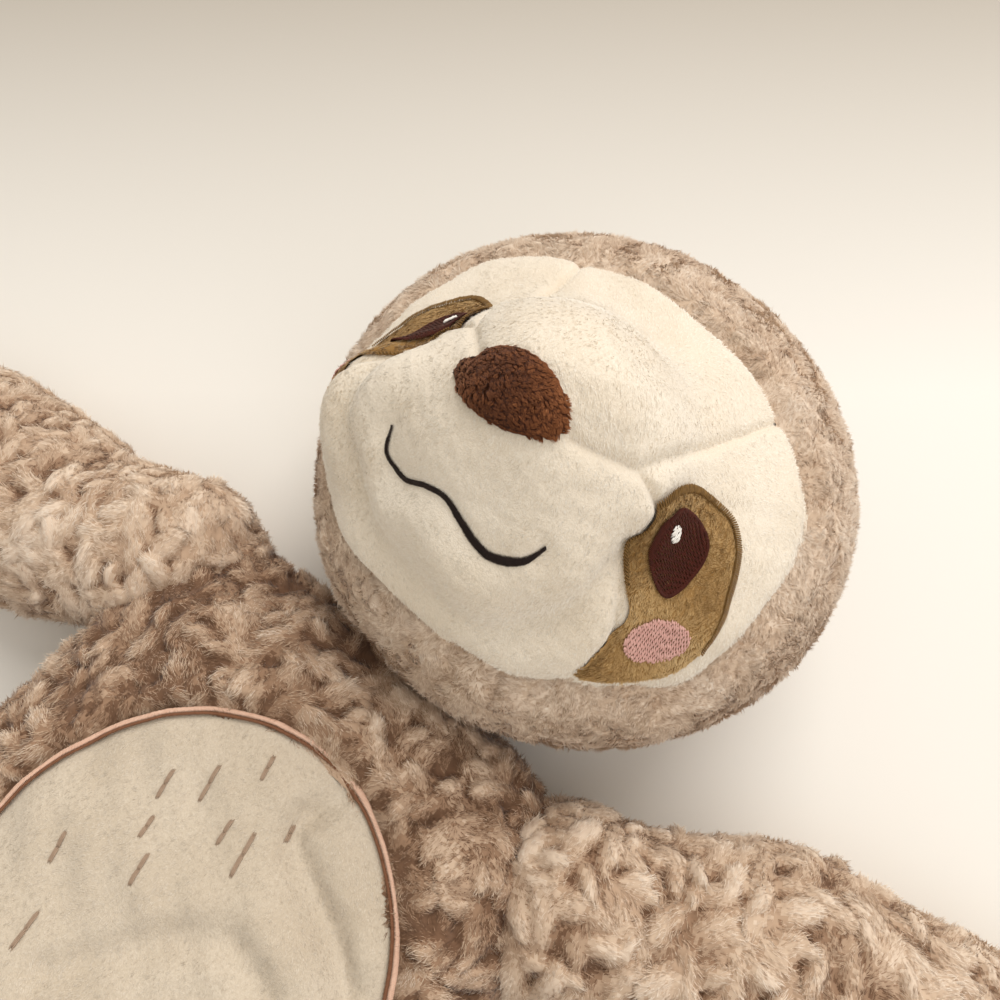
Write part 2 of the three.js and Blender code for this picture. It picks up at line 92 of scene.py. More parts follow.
def linear(colour):
    """An sRGB hex colour as linear red, green, blue and alpha."""
    values = [int(colour[i:i + 2], 16) / 255 for i in (1, 3, 5)]
    return [v / 12.92 if v <= 0.04045 else ((v + 0.055) / 1.055) ** 2.4 for v in values] + [1.0]


def add(tree, kind, settings=(), links=()):
    """Adds one node. A setting names an input or a property, and a link gives an input its source."""
    made = tree.nodes.new("ShaderNode" + kind)
    for name, value in dict(settings).items():
        if isinstance(name, str) and hasattr(made, name):
            setattr(made, name, value)
        else:
            made.inputs[name].default_value = value
    for name, source in dict(links).items():
        tree.links.new(source, made.inputs[name])
    return made


def new_material(name):
    """An empty node material and its output."""
    material = bpy.data.materials.new(name)
    material.use_nodes = True
    material.node_tree.nodes.clear()
    return material, material.node_tree, add(material.node_tree, "OutputMaterial")


paper, tree, out = new_material("matte_cream_paper_painted_shade")
coordinates = add(tree, "TexCoord")
along = add(tree, "VectorMath", {"operation": "DOT_PRODUCT", 1: TABLE["shade_way"]},
            {0: coordinates.outputs["Object"]})
fade = add(tree, "MapRange", {"From Min": TABLE["shade_from"], "From Max": TABLE["shade_to"]},
           {"Value": along.outputs["Value"]})
# Painted shade: the paper's colour darkens toward its far tone along this way.
tint = add(tree, "Mix", {"data_type": "RGBA", 6: linear(TABLE["near"]), 7: linear(TABLE["far"])},
           {0: fade.outputs[0]})
sheet = add(tree, "BsdfPrincipled", {"Roughness": 0.9, "Specular IOR Level": 0.1},
            {"Base Color": tint.outputs[2]})
tree.links.new(sheet.outputs[0], out.inputs[0])
table_mesh = bpy.data.meshes.new("table")
half = TABLE["size"] / 2
table_mesh.from_pydata([(-half, -half, 0), (half, -half, 0), (half, half, 0), (-half, half, 0)], [],
                       [(0, 1, 2, 3)])
table_mesh.materials.append(paper)
table = bpy.data.objects.new("table", table_mesh)
bpy.context.collection.objects.link(table)


# Light: one broad soft source above the crown, a weaker one on the sloth's left, and a pale room around.
# The places and sizes are in millimetres, the places from the head. The camera sees a plain wall there.
LIGHTS = {
    "window": {"place": (-250, 1170, 1500), "size": 1500, "watts": 28.0, "colour": "#fffbf8"},
    "fill": {"place": (1550, -100, 1600), "size": 2200, "watts": 14.5, "colour": "#fbfaff"},
}
for name, lamp in LIGHTS.items():
    data = bpy.data.lights.new(name, "AREA")
    data.size = lamp["size"] * MM
    data.energy = lamp["watts"]
    data.color = linear(lamp["colour"])[:3]
    light = bpy.data.objects.new(name, data)
    light.location = Vector(head_centre * MM) + Vector(lamp["place"]) * MM
    light.rotation_euler = (Vector(head_centre * MM) - light.location).to_track_quat("-Z", "Y").to_euler()
    bpy.context.collection.objects.link(light)
ROOM = {"colour": "#f4eee4", "strength": 0.66, "wall": "#cfc7bb"}
world = bpy.data.worlds.new("pale_room")
world.use_nodes = True
scene.world = world
tree = world.node_tree
room = tree.nodes["Background"]
room.inputs["Color"].default_value = linear(ROOM["colour"])
room.inputs["Strength"].default_value = ROOM["strength"]
wall = add(tree, "Background", {"Color": linear(ROOM["wall"]), "Strength": 1.0})
seen = add(tree, "LightPath")
either = add(tree, "MixShader", {},
             {0: seen.outputs["Is Camera Ray"], 1: room.outputs[0], 2: wall.outputs[0]})
tree.links.new(either.outputs[0], tree.nodes["World Output"].inputs[0])


# Fur cloth: knitted polyester with curly pile, tan to taupe, which is cut, sewn and stuffed. The backing
# shows only as the warm shadow between the locks. Each shape is a grid of points in millimetres, made
# into a mesh in metres, and none of it goes lower than this over the table.
LOWEST, LOWEST_FIBRE = 0.8, 0.3


def unit(vectors):
    """Vectors brought to length one."""
    vectors = np.asarray(vectors, float)
    return vectors / np.maximum(np.linalg.norm(vectors, axis=-1, keepdims=True), 1e-9)


def new_piece(name, points, faces, materials, body, slots=None, shading=None):
    """Makes a mesh object of points in millimetres and arrays of faces, and rides it on a body.

    Shading gives each point the direction in which light falls on it, as pile catches light by its tufts.
    """
    faces = faces if isinstance(faces, list) else [faces]
    sides = np.concatenate([np.full(len(part), part.shape[1]) for part in faces])
    used, corners = np.unique(np.concatenate([part.ravel() for part in faces]), return_inverse=True)
    points = np.asarray(points, float).reshape(-1, 3)[used]
    mesh = bpy.data.meshes.new(name)
    mesh.vertices.add(len(points))
    mesh.vertices.foreach_set("co", (points * MM).ravel())
    mesh.loops.add(len(corners))
    mesh.loops.foreach_set("vertex_index", corners.astype(np.int32))
    mesh.polygons.add(len(sides))
    mesh.polygons.foreach_set("loop_start", (np.cumsum(sides) - sides).astype(np.int32))
    mesh.polygons.foreach_set("use_smooth", np.ones(len(sides), bool))
    for material in materials:
        mesh.materials.append(material)
    if slots is not None:
        mesh.polygons.foreach_set("material_index", np.asarray(slots, np.int32))
    mesh.update(calc_edges=True)
    if shading is not None:
        normals = mesh.attributes.new("custom_normal", "FLOAT_VECTOR", "POINT")
        normals.data.foreach_set("vector", np.asarray(shading, np.float32).reshape(-1, 3)[used].ravel())
    piece = bpy.data.objects.new(name, mesh)
    bpy.context.collection.objects.link(piece)
    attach(piece, body)
    return piece


def grid_faces(grid, wrap=True, keep=None):
    """Corner numbers of the squares of a grid, which closes on itself along its columns if it wraps."""
    rows, columns = grid.shape[:2]
    across = columns if wrap else columns - 1
    i, j = np.meshgrid(np.arange(rows - 1), np.arange(across), indexing="ij")
    a, b = i * columns + j, i * columns + (j + 1) % columns
    faces = np.stack([a, b, b + columns, a + columns], axis=-1)
    return faces.reshape(-1, 4) if keep is None else faces[keep].reshape(-1, 4)


def drift(points, size, seed):
    """A smooth random field over places, about -1 to 1, whose hills lie some size apart: ten waves."""
    rng = default_rng(seed)
    waves = rng.normal(size=(10, 3)) * 2 * math.pi / size / 1.7
    phases = rng.uniform(0, 2 * math.pi, 10)
    strengths = rng.normal(size=10) * 0.45
    return (np.sin(np.asarray(points, float) @ waves.T + phases) * strengths).sum(axis=-1)


def ridge(distance, tall, wide):
    """A smooth ridge over distances from its line."""
    return tall * np.exp(-(distance / wide) ** 2)


def grid_normals(grid):
    """Directions square to a grid of points that closes on itself along its columns."""
    closed = np.concatenate([grid[:, -1:], grid, grid[:, :1]], axis=1)
    return unit(np.cross(np.gradient(closed, axis=1)[:, 1:-1], np.gradient(grid, axis=0)))


CLUMP_CONTRAST = {"From Min": 0.12, "From Max": 0.38}
GRAIN_RELIEF = 0.6


def textile(name, colour, shade, grain, detail, finish, bump=0.0, clumps=0.0):
    """A dyed textile in two tones, mottled by a grain and by wider clumps of it, sizes in millimetres."""
    material, tree, out = new_material(name)
    place = add(tree, "TexCoord").outputs["Object"]
    fine = add(tree, "TexNoise", {"Scale": 1 / (grain * MM), **detail}, {"Vector": place}).outputs["Fac"]
    mottle = fine
    if clumps:
        broad = add(tree, "TexNoise", {"Scale": 1 / (clumps * MM), "Detail": 3.0}, {"Vector": place})
        both = add(tree, "Math", {"operation": "MULTIPLY"}, {0: broad.outputs["Fac"], 1: fine})
        mottle = add(tree, "MapRange", CLUMP_CONTRAST, {"Value": both.outputs[0]}).outputs[0]
    tint = add(tree, "Mix", {"data_type": "RGBA", 6: linear(shade), 7: linear(colour)}, {0: mottle})
    links = {"Base Color": tint.outputs[2]}
    if bump:
        raised = add(tree, "Bump", {"Strength": bump, "Distance": GRAIN_RELIEF * MM}, {"Height": fine})
        links["Normal"] = raised.outputs[0]
    surface = add(tree, "BsdfPrincipled", finish, links)
    tree.links.new(surface.outputs[0], out.inputs[0])
    return material


def pile_tones(name, colours):
    """Polyester fibre in tones from the shaded root to the pale tip, with a soft sheen."""
    tones = []
    for number, colour in enumerate(colours):
        material, tree, out = new_material(f"{name}_{number}")
        fibre = add(tree, "BsdfPrincipled", {
            "Base Color": linear(colour), "Roughness": 0.75, "Specular IOR Level": 0.25,
            "Sheen Weight": 0.25, "Sheen Roughness": 0.5})
        tree.links.new(fibre.outputs[0], out.inputs[0])
        tones.append(material)
    return tones


# Knitted polyester is dull, and mottled in blotches as wide as a tuft, where the pile's roots thin out.
KNIT = {"grain": 4.1667, "detail": {"Detail": 3.0}, "bump": 0.5,
        "finish": {"Roughness": 0.95, "Specular IOR Level": 0.1}}
tan_backing = textile("knitted_polyester_backing", "#9c7f66", "#7a5e48", **KNIT)
tan_pile = pile_tones("curly_polyester_pile",
                      ["#75563f", "#997a60", "#b89c82", "#cdb59c", "#dcc8b2", "#e7d8c6"])


def scatter(grid, fields, count, rng, keep=None):
    """Random places spread evenly over a closed grid: the places, each field there, and the area."""
    def closed(values):
        return np.concatenate([values, values[:, :1]], axis=1)

    points = closed(grid)
    a, b, c, d = points[:-1, :-1], points[:-1, 1:], points[1:, 1:], points[1:, :-1]
    area = np.linalg.norm(np.cross(c - a, d - b), axis=-1) / 2
    if keep is not None:
        area = area * keep
    share = np.cumsum(area.ravel())
    cell = np.searchsorted(share, rng.uniform(0, share[-1], count))
    i, j = np.unravel_index(np.minimum(cell, area.size - 1), area.shape)
    u, v = rng.uniform(size=(2, count, 1))
    spread = []
    for values in (grid, *fields):
        values = closed(values)
        low = values[i, j] * (1 - u) + values[i, j + 1] * u
        high = values[i + 1, j] * (1 - u) + values[i + 1, j + 1] * u
        spread.append(low * (1 - v) + high * v)
    return (*spread, share[-1])


def turned(vectors, axes, angles):
    """Vectors turned about axes that they stand square to."""
    c, s = np.cos(angles)[..., None], np.sin(angles)[..., None]
    return vectors * c + np.cross(axes, vectors) * s


def finder(places):
    """A tree that finds which of a set of places lie nearest."""
    tree = kdtree.KDTree(len(places))
    for number, place in enumerate(places):
        tree.insert(place, number)
    tree.balance()
    return tree


def along_surface(vectors, up):
    """What is left of vectors when their part along the surface's upward direction is taken away."""
    return vectors - up * (vectors * up).sum(-1, keepdims=True)


# Sizes of tufts in millimetres, spreads and shapes as shares, and turns in degrees.
CURL = {"tries": 3, "closest": 0.78, "size_spread": 0.2, "rise_spread": 0.25, "bend": 0.35, "heel": 0.72,
        "overhang": 0.35, "ripple": 0.06, "ripple_size": 2.2, "sunk": 1.3}
TUFT_TONE = {"curve": 0.8, "drift": 0.5, "drift_size": 25, "spread": 0.25}
AREA_TRIAL = 8


def tufted(grid, out, comb, tuft, seed, fade=1.0, keep=None):
    """Raises the dense top of a pile over cloth: soft tufts that lie along the comb like shingles.

    Gives the raised grid, the directions square to it, each tuft's own lie, and how high each place is.
    """
    rng = default_rng(seed)
    *_, area = scatter(grid, (out, comb), AREA_TRIAL, rng, keep)
    count = int(tuft["tries"] * area / tuft["apart"] ** 2)
    spots, spots_out, spots_comb, area = scatter(grid, (out, comb), count, rng, keep)
    near_spots = finder(spots)
    free, chosen = np.ones(count, bool), []
    for number in range(count):
        if free[number]:
            chosen.append(number)
            taken = near_spots.find_range(spots[number], tuft["closest"] * tuft["apart"])
            free[[found[1] for found in taken]] = False
    centres, up = spots[chosen], unit(spots_out[chosen])
    flow = unit(along_surface(spots_comb[chosen], up))
    wander = drift(centres, tuft["wander_size"], seed + 1) * tuft["wander"]
    flow = turned(flow, up, np.radians(wander + rng.normal(size=len(chosen)) * tuft["stray"]))
    beside = np.cross(up, flow)
    size = np.clip(1 + tuft["size_spread"] * rng.normal(size=len(chosen)), 0.6, 1.5)
    rise = np.clip(1 + tuft["rise_spread"] * rng.normal(size=len(chosen)), 0.4, 1.5)
    near_centres = finder(centres)
    flat = grid.reshape(-1, 3)
    near = np.array([[found[1] for found in near_centres.find_n(place, 5)] for place in flat])
    offset = flat[:, None] - centres[near]
    u = (offset * flow[near]).sum(-1) / (tuft["long"] * size[near])
    v = (offset * beside[near]).sum(-1) / (tuft["wide"] * size[near])
    v = v - tuft["bend"] * rng.normal(size=len(chosen))[near] * u ** 2
    toe = tuft["heel"] + (1 - tuft["heel"]) * np.clip(u, -1, 1)
    dome = np.sqrt(np.clip(1 - u ** 2 - v ** 2, 0, 1)) * toe * rise[near]
    best = dome.argmax(axis=1)
    lie = flow[near[np.arange(len(flat)), best]].reshape(grid.shape)
    high = dome[np.arange(len(flat)), best].reshape(grid.shape[:2])
    high = high + tuft["ripple"] * drift(grid, tuft["ripple_size"], seed + 2)
    shown, sunk = np.maximum(fade, 0), np.minimum(fade, 0)
    lift = (tuft["base"] + tuft["high"] * high) * shown + tuft["sunk"] * sunk
    raised = grid + out * lift[..., None]
    raised = raised + lie * (tuft["overhang"] * tuft["high"] * high * shown)[..., None]
    raised[..., 2] = np.maximum(raised[..., 2], LOWEST)
    square = grid_normals(raised)
    square = square * np.sign((square * out).sum(-1, keepdims=True) + 1e-9)
    return raised, square, lie, np.clip(high, 0, 1.2)


def tuft_slots(high, tones, seed, grid):
    """Which tone each square of a tufted grid has: the shaded depth between tufts is darkest."""
    middle = (high[:-1] + high[1:]) / 2
    middle = (middle + np.roll(middle, -1, axis=1)) / 2
    tone = tones[0] + (tones[1] - tones[0]) * np.clip(middle, 0, 1) ** TUFT_TONE["curve"]
    tone = tone + TUFT_TONE["drift"] * drift(grid[:-1], TUFT_TONE["drift_size"], seed)
    tone = tone + default_rng(seed).normal(size=tone.shape) * TUFT_TONE["spread"]
    return np.clip(np.round(tone), 0, len(tan_pile) - 1)


# Fibres of a pile, each a ribbon bent once: sizes in millimetres and turns in degrees of the locks, and
# how lengths, leans, widths and tones spread, how far a fibre tapers, how much painted shade darkens its
# root in the depth between tufts, and how light falls on it.
FIBRE = {"lock": 0.9, "uneven": 0.15, "wander": 25, "wander_size": 12, "stray": 10, "frizz": 0.05,
         "shorter": (0.72, 1.08), "lock_lean": 12, "fibre_lean": 6, "upright": 0.6, "roll": 0.35,
         "narrower": (0.75, 1.2), "taper": 0.75, "lock_tone": 0.25, "broad_tone": 0.4, "fibre_tone": 0.3,
         "broad": 30, "curve": 0.8, "depth": 0.0, "flat": 0.75, "round": 0.35}
ALONG_FIBRE, STEP_MIDDLES = np.array((0, 0.5, 1)), np.array((0.25, 0.75))


def grow_pile(name, body, roots, out, comb, style, seed, area, materials, high=0.5):
    """Grows pile from roots on a surface as locks of tapered fibres, each a narrow ribbon.

    Fibres of one lock share its lean, swirl and length and draw together toward its tip. Light falls on
    them much as on the surface, and high says how far out of the shaded depth each root lies.
    """
    rng = default_rng(seed)
    count = len(roots)
    locks = max(8, int(area / style["lock"] ** 2))
    centres = rng.choice(count, min(locks, count), replace=False)
    near_centres = finder(roots[centres])
    lock = np.array([near_centres.find(root)[1] for root in roots])
    middle, up = roots[centres][lock], out[centres]
    flow = unit(along_surface(comb[centres], up))
    wander = drift(roots[centres], style["wander_size"], seed + 1) * style["wander"]
    wander = wander + rng.normal(size=len(centres)) * style["stray"]
    flow = turned(flow, up, np.radians(wander))[lock]
    swirl = np.radians(rng.normal(size=len(centres)) * style["swirl"])[lock]
    reach = style["length"] * np.clip(1 + rng.normal(size=len(centres)) * style["uneven"], 0.5, 1.5)[lock]
    reach = reach * rng.uniform(*style["shorter"], count)
    lean_more = (rng.normal(size=len(centres)) * style["lock_lean"])[lock]
    lean_more = lean_more + rng.normal(size=count) * style["fibre_lean"]
    up = unit(style["upright"] * out + (1 - style["upright"]) * up[lock])
    side = np.cross(up, flow)
    lean_start, lean_end = style["lean"]
    lean = np.radians(lean_start + (lean_end - lean_start) * STEP_MIDDLES + lean_more[:, None])[..., None]
    turn = (swirl[:, None] * STEP_MIDDLES)[..., None]
    heading = (np.cos(lean) * up[:, None] + np.sin(lean)
               * (np.cos(turn) * flow[:, None] + np.sin(turn) * side[:, None]))
    path = np.cumsum(heading * (reach / 2)[:, None, None], axis=1)
    path = np.concatenate([np.zeros((count, 1, 3)), path], axis=1) + roots[:, None]
    away = along_surface(roots - middle, up)
    path = path - away[:, None] * (style["pull"] * ALONG_FIBRE ** 1.3)[:, None]
    path = path + rng.normal(size=(count, 1, 3)) * style["frizz"] * ALONG_FIBRE[:, None] ** 1.5
    heading = np.concatenate([heading[:, :1], heading], axis=1)
    facing = unit(np.cross(heading, up[:, None]) + 1e-4)
    roll = rng.normal(size=(count, 1)) * style["roll"]
    facing = turned(facing, unit(heading), np.repeat(roll, 3, axis=1))
    taper = 1 - style["taper"] * ALONG_FIBRE ** 2
    half = facing * (style["width"] * rng.uniform(*style["narrower"], (count, 1)) * taper / 2)[..., None]
    ribbons = np.stack([path - half, path + half], axis=2)[:, :2].reshape(count, 4, 3)
    points = np.concatenate([ribbons, path[:, 2:]], axis=1)
    points[..., 2] = np.maximum(points[..., 2], LOWEST_FIBRE)
    start = 5 * np.arange(count)[:, None]
    # Painted shade: each fibre's tone darkens toward its root, and more where the root lies deep between
    # tufts.
    tone = style["tones"][0] + (style["tones"][1] - style["tones"][0]) * STEP_MIDDLES ** style["curve"]
    lock_tone = (rng.normal(size=len(centres)) * style["lock_tone"])[lock]
    lock_tone = lock_tone + drift(roots, style["broad"], seed + 2) * style["broad_tone"]
    tone = tone + lock_tone[:, None] + rng.normal(size=(count, 1)) * style["fibre_tone"]
    tone = tone + np.atleast_1d(np.asarray(high) - 0.5)[:, None] * style["depth"]
    tone = np.clip(np.round(tone), 0, len(materials) - 1)
    across = np.cross(facing, heading)
    across = across * np.sign((across * out[:, None]).sum(-1, keepdims=True) + 1e-9)
    shading = unit(out[:, None] * style["flat"] + across * style["round"])
    shading = np.concatenate([np.repeat(shading[:, :-1], 2, axis=1), shading[:, -1:]], axis=1)
    return new_piece(name, points, [start + (0, 1, 3, 2), start + (2, 3, 4)], materials, body, tone.T.ravel(),
                     shading)


# Head: two halves of fur cloth stuffed round, and a face of smooth plush let into them. The muzzle
# stands out of the skull as one rounded hill.
SKULL = {"side": 71.0, "crown": 68.0, "chin": 69.0, "front": 44.5, "back": 44.0}
MUZZLE = {"length": 35.0, "drop": -13.5, "side": 19.5, "up": 16.0, "down": 28.0}
FACE = {"side": 58.8, "high": 47.4, "drop": 12.5, "power": 2.5, "mean": 50.0}
LEFT_TUCK = {"tall": 0.24, "middle": (42, -44), "wide": 15, "high": 15}
CHIN_SLACK = {"tall": 0.16, "middle": (-14, -60), "wide": 26, "high": 14}
EDGE = {"bare": 0.8, "rise": 2.4}
HOOD_FRONT = -12.0


def ball_directions(rows, columns, last_degrees):
    """Directions from the middle of a ball, row by row from its lower pole to its upper one."""
    rise, around = np.meshgrid(np.radians(np.linspace(-last_degrees, last_degrees, rows)),
                               np.radians(np.linspace(0, 360, columns, endpoint=False)), indexing="ij")
    return np.stack([np.cos(rise) * np.sin(around), np.sin(rise), np.cos(rise) * np.cos(around)], axis=-1)


def head_reach(d):
    """How far the head's cloth lies from its centre in each direction."""
    high = np.where(d[..., 1] > 0, SKULL["crown"], SKULL["chin"])
    deep = np.where(d[..., 2] > 0, SKULL["front"], SKULL["back"])
    skull = 1 / np.sqrt((d[..., 0] / SKULL["side"]) ** 2 + (d[..., 1] / high) ** 2 + (d[..., 2] / deep) ** 2)
    rise = np.arcsin(np.clip(d[..., 1], -1, 1))
    sideways = np.degrees(np.arctan2(d[..., 0], d[..., 2])) * np.cos(rise)
    above = np.degrees(rise) - MUZZLE["drop"]
    spread = np.where(above > 0, MUZZLE["up"], MUZZLE["down"])
    return skull + MUZZLE["length"] * np.exp(-((sideways / MUZZLE["side"]) ** 2 + (above / spread) ** 2) / 2)


def head_height(x, y):
    """How high the head's front lies over a place in its plane."""
    low, high = np.full(np.shape(x), -20.0), np.full(np.shape(x), 110.0)
    for _ in range(22):
        z = (low + high) / 2
        p = np.stack([x, y, z], axis=-1)
        far = np.linalg.norm(p, axis=-1)
        outside = far > head_reach(p / far[..., None])
        low, high = np.where(outside, low, z), np.where(outside, z, high)
    return (low + high) / 2


def hill(x, y, tall, middle, wide, high, power=1.0):
    """A smooth round hill over places in a plane."""
    far = ((x - middle[0]) / wide) ** 2 + ((y - middle[1]) / high) ** 2
    return tall * np.exp(-far ** power)


def in_face(x, y, margin=0.0):
    """Less than 1 inside the face opening, closed a little under the left cheek and open under the chin."""
    closed = hill(x, y, **LEFT_TUCK) * (margin < 1) - hill(x, y, **CHIN_SLACK)
    return closed + ((np.abs(x) / (FACE["side"] + margin)) ** FACE["power"]
                     + (np.abs(y + FACE["drop"]) / (FACE["high"] + margin)) ** FACE["power"])


directions = ball_directions(300, 600, 89.5)
skull_local = directions * head_reach(directions)[..., None]
skull_local[..., 2] = np.maximum(skull_local[..., 2], LOWEST - HEAD_BACK_DEPTH)
skull = head_to_world(skull_local)
skull_out = grid_normals(skull)
skull_out = skull_out * np.sign((skull_out * (skull - head_centre)).sum(-1).mean())
opening = in_face(skull_local[..., 0], skull_local[..., 1])
is_face = (opening < 0.9) & (skull_local[..., 2] > 0)
from_edge = (np.maximum(opening, 0) ** (1 / FACE["power"]) - 1) * FACE["mean"]
from_edge = np.where(skull_local[..., 2] > 0, from_edge, FACE["mean"])
at_edge = np.clip((from_edge - EDGE["bare"]) / EDGE["rise"], -1, 1)
HEAD_TUFT = {**CURL, "apart": 4.6, "long": 5.0, "wide": 2.8, "base": 1.4, "high": 1.1, "wander": 120,
             "wander_size": 16, "stray": 50}
HEAD_STYLE = {**FIBRE, "length": 1.6, "width": 0.16, "lean": (46, 82), "swirl": 30, "wander": 30,
              "wander_size": 9, "stray": 20, "uneven": 0.2, "pull": 0.15, "frizz": 0.08,
              "tones": (2.2, 3.9), "depth": 1.0, "round": 0.2}
head_comb = np.stack([skull_local[..., 0], skull_local[..., 1] + FACE["drop"], 0 * opening - 20], axis=-1)
pile_top, pile_out, pile_lie, pile_high = tufted(skull, skull_out, head_comb @ head_axes, HEAD_TUFT, 11,
                                                 at_edge, ~is_face[:-1])
pile_tone = tuft_slots(pile_high, (2.4, 3.9), 13, pile_top)

for side, word in ((1, "left"), (-1, "right")):
    keep = ~is_face[:-1] & ((skull_local[:-1, :, 0] * side) >= -0.01)
    hood = new_piece(f"hood_{word}_cloth", pile_top, grid_faces(skull, keep=keep), tan_pile, "head",
                     pile_tone[keep])
    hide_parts(f"hood_{word}", *(["head_stuffing"] if side > 0 else []))
    for region, seed, count in (("front", 14, 66000), ("back", 17, 26000)):
        in_front = skull_local[:-1, :, 2] > HOOD_FRONT
        part = keep & (in_front if region == "front" else ~in_front)
        roots, out, lie, high, area = scatter(pile_top, (pile_out, pile_lie, pile_high[..., None]), count,
                                              default_rng(seed + side), part)
        pile = grow_pile(f"hood_{word}_{region}_pile", "head", roots, unit(out), lie, HEAD_STYLE,
                         seed + 5 * side, area, tan_pile, high[:, 0])


# Face: four panels of smooth cream plush, sewn edge to edge and drawn in a little along each seam.
# Fill rounds them out between the seams, and a furrow runs down beside the muzzle to the chin. Each
# groove and bank below is given as how deep or tall it is, and how wide, in millimetres.
SEAMS_MEET = (22.3, -15.8)
NOSE_SEAM = [(11.5, -24.2), (14.8, -22.2), (18.8, -19), SEAMS_MEET]
FOREHEAD_SEAM = [SEAMS_MEET, (24.9, 0.4), (27.7, 15.4), (33.8, 36.5)]
MUZZLE_SEAM = [SEAMS_MEET, (27.9, -16), (29, -21.8), (30.4, -26.5), (34, -31.6), (37.4, -36), (37.4, -47.4),
               (37.4, -64)]
FURROW = [(28.8, -23.9), (28.9, -31), (28.2, -41.4), (25.1, -47), (19.9, -53.2), (11, -56.5), (0, -57.5)]
SMILE = [(-18.6, -39.4), (-17.9, -41.9), (-15.9, -44.7), (-11.1, -46.3), (-5.4, -45.3), (-0.8, -44.7),
         (4, -45.3), (8.3, -45.6), (11.9, -45), (15.1, -42.8), (17.5, -39.7), (18.4, -37.1)]
PANEL_PUFF, PUFF_REACH, SEAM_GROOVE, SEAM_EASE = 0.9, 5.0, (1.1, 1.1), 0.1
FURROW_GROOVE, FURROW_BANK, BANK_AWAY = (2.2, 2.4), (0.9, 3.5), 5.5
SMILE_GROOVE, LIP, LIP_SHIFT = (0.8, 1.5), (1.3, 2.8), (1, 4.8)
JOWL = {"middle": (33.0, -36.0), "wide": 12.0, "high": 14.0, "power": 1.25}
JOWL_TALL = {"left": 2.0, "right": 12.0}
EDGE_GROOVE = (1.9, 0.07)


def smooth_line(points, per_step=8, closed=False):
    """A smooth curve through the points of a line, as many points to each step."""
    points = np.asarray(points, float)
    if closed:
        before, start, end, after = (np.roll(points, k, axis=0) for k in (1, 0, -1, -2))
    else:
        padded = np.vstack([2 * points[0] - points[1], points, 2 * points[-1] - points[-2]])
        before, start, end, after = padded[:-3], padded[1:-2], padded[2:-1], padded[3:]
    t = (np.arange(per_step) / per_step)[None, :, None]
    before, start, end, after = (p[:, None, :] for p in (before, start, end, after))
    curve = 0.5 * (2 * start + (end - before) * t + (2 * before - 5 * start + 4 * end - after) * t ** 2
                   + (3 * start - before - 3 * end + after) * t ** 3)
    curve = curve.reshape(-1, points.shape[1])
    return curve if closed else np.vstack([curve, points[-1:]])


nose_seam, forehead_seam, muzzle_seam, furrow, smile = (
    smooth_line(line) for line in (NOSE_SEAM, FOREHEAD_SEAM, MUZZLE_SEAM, FURROW, SMILE))


def from_line(x, y, line):
    """How far places in the head's plane lie from a line of points."""
    best = np.full(np.shape(x), 1e9)
    for (ax, ay), (bx, by) in zip(line[:-1:2], list(line[2::2]) + [line[-1]]):
        dx, dy = bx - ax, by - ay
        t = np.clip(((x - ax) * dx + (y - ay) * dy) / max(dx * dx + dy * dy, 1e-9), 0, 1)
        best = np.minimum(best, np.hypot(x - ax - t * dx, y - ay - t * dy))
    return best


def face_relief(x, y, z):
    """How far the plush stands over or under the head's plain form."""
    ax = np.abs(x)
    seams = np.minimum(np.minimum(from_line(ax, y, nose_seam), from_line(ax, y, forehead_seam)),
                       from_line(ax, y, muzzle_seam))
    crease = from_line(ax, y, furrow)
    inside = np.clip(1 - in_face(x, y), 0, 1)
    lip = from_line(x + LIP_SHIFT[0], y + LIP_SHIFT[1], smile)
    relief = PANEL_PUFF * (1 - np.exp(-seams / PUFF_REACH))
    relief = relief - ridge(seams, *SEAM_GROOVE) * np.clip(inside / SEAM_EASE, 0, 1)
    relief = relief - ridge(crease, *FURROW_GROOVE) + ridge(crease - BANK_AWAY, *FURROW_BANK)
    relief = relief - ridge(from_line(x, y, smile), *SMILE_GROOVE) + ridge(lip, *LIP)
    relief = relief + hill(ax, y, np.where(x > 0, JOWL_TALL["left"], JOWL_TALL["right"]), **JOWL)
    relief = relief - ridge(inside, *EDGE_GROOVE)
    spots = np.stack([x, y, z], axis=-1)
    return relief + 0.35 * drift(spots, 17, 5) + 0.05 * drift(spots, 5, 6)


def on_height(height, x, y, step):
    """Places on a surface whose height is known over [x, y], and the directions square to it."""
    z = height(x, y)
    slopes = [-(height(x + step, y) - z) / step, -(height(x, y + step) - z) / step]
    return np.stack([x, y, z], axis=-1), unit(np.stack([*slopes, np.ones_like(z)], axis=-1))


def on_face(x, y, lift=0.0):
    """Places in the toy's frame on the plush, lifted off it, and the direction square to the head."""
    x, y = np.asarray(x, float), np.asarray(y, float)
    places, square = on_height(head_height, x, y, 0.3)
    local = places + square * (face_relief(x, y, places[..., 2]) + lift)[..., None]
    return head_to_world(local), square @ head_axes


# Minky: cut polyester pile about a millimetre long. It looks matte, with a soft pale rim of sheen. Its
# fibres are finer than a pixel, so the grain is drawn at about half a millimetre.
MINKY = {"grain": 0.55556, "detail": {"Detail": 3.0, "Roughness": 0.7}, "clumps": 22.2222, "bump": 0.55,
         "finish": {"Roughness": 0.9, "Specular IOR Level": 0.15, "Sheen Weight": 0.5,
                    "Sheen Roughness": 0.45}}
cream_minky = textile("cream_minky", "#f3e8d6", "#e4d6c0", **MINKY)
FACE_STEP = 0.45
wide = np.arange(-FACE["side"] - 1, FACE["side"] + 1, FACE_STEP)
high = np.arange(-FACE["high"] - 1, FACE["high"] + 1, FACE_STEP) - FACE["drop"]
face_x, face_y = np.meshgrid(wide, high)
face_points, face_out = on_face(face_x, face_y)
middle_x, middle_y = face_x[:-1, :-1] + FACE_STEP / 2, face_y[:-1, :-1] + FACE_STEP / 2
within = in_face(middle_x, middle_y, 1.2) < 1
left_x = np.abs(middle_x)
nose_line = np.interp(left_x, nose_seam[:, 0], nose_seam[:, 1])
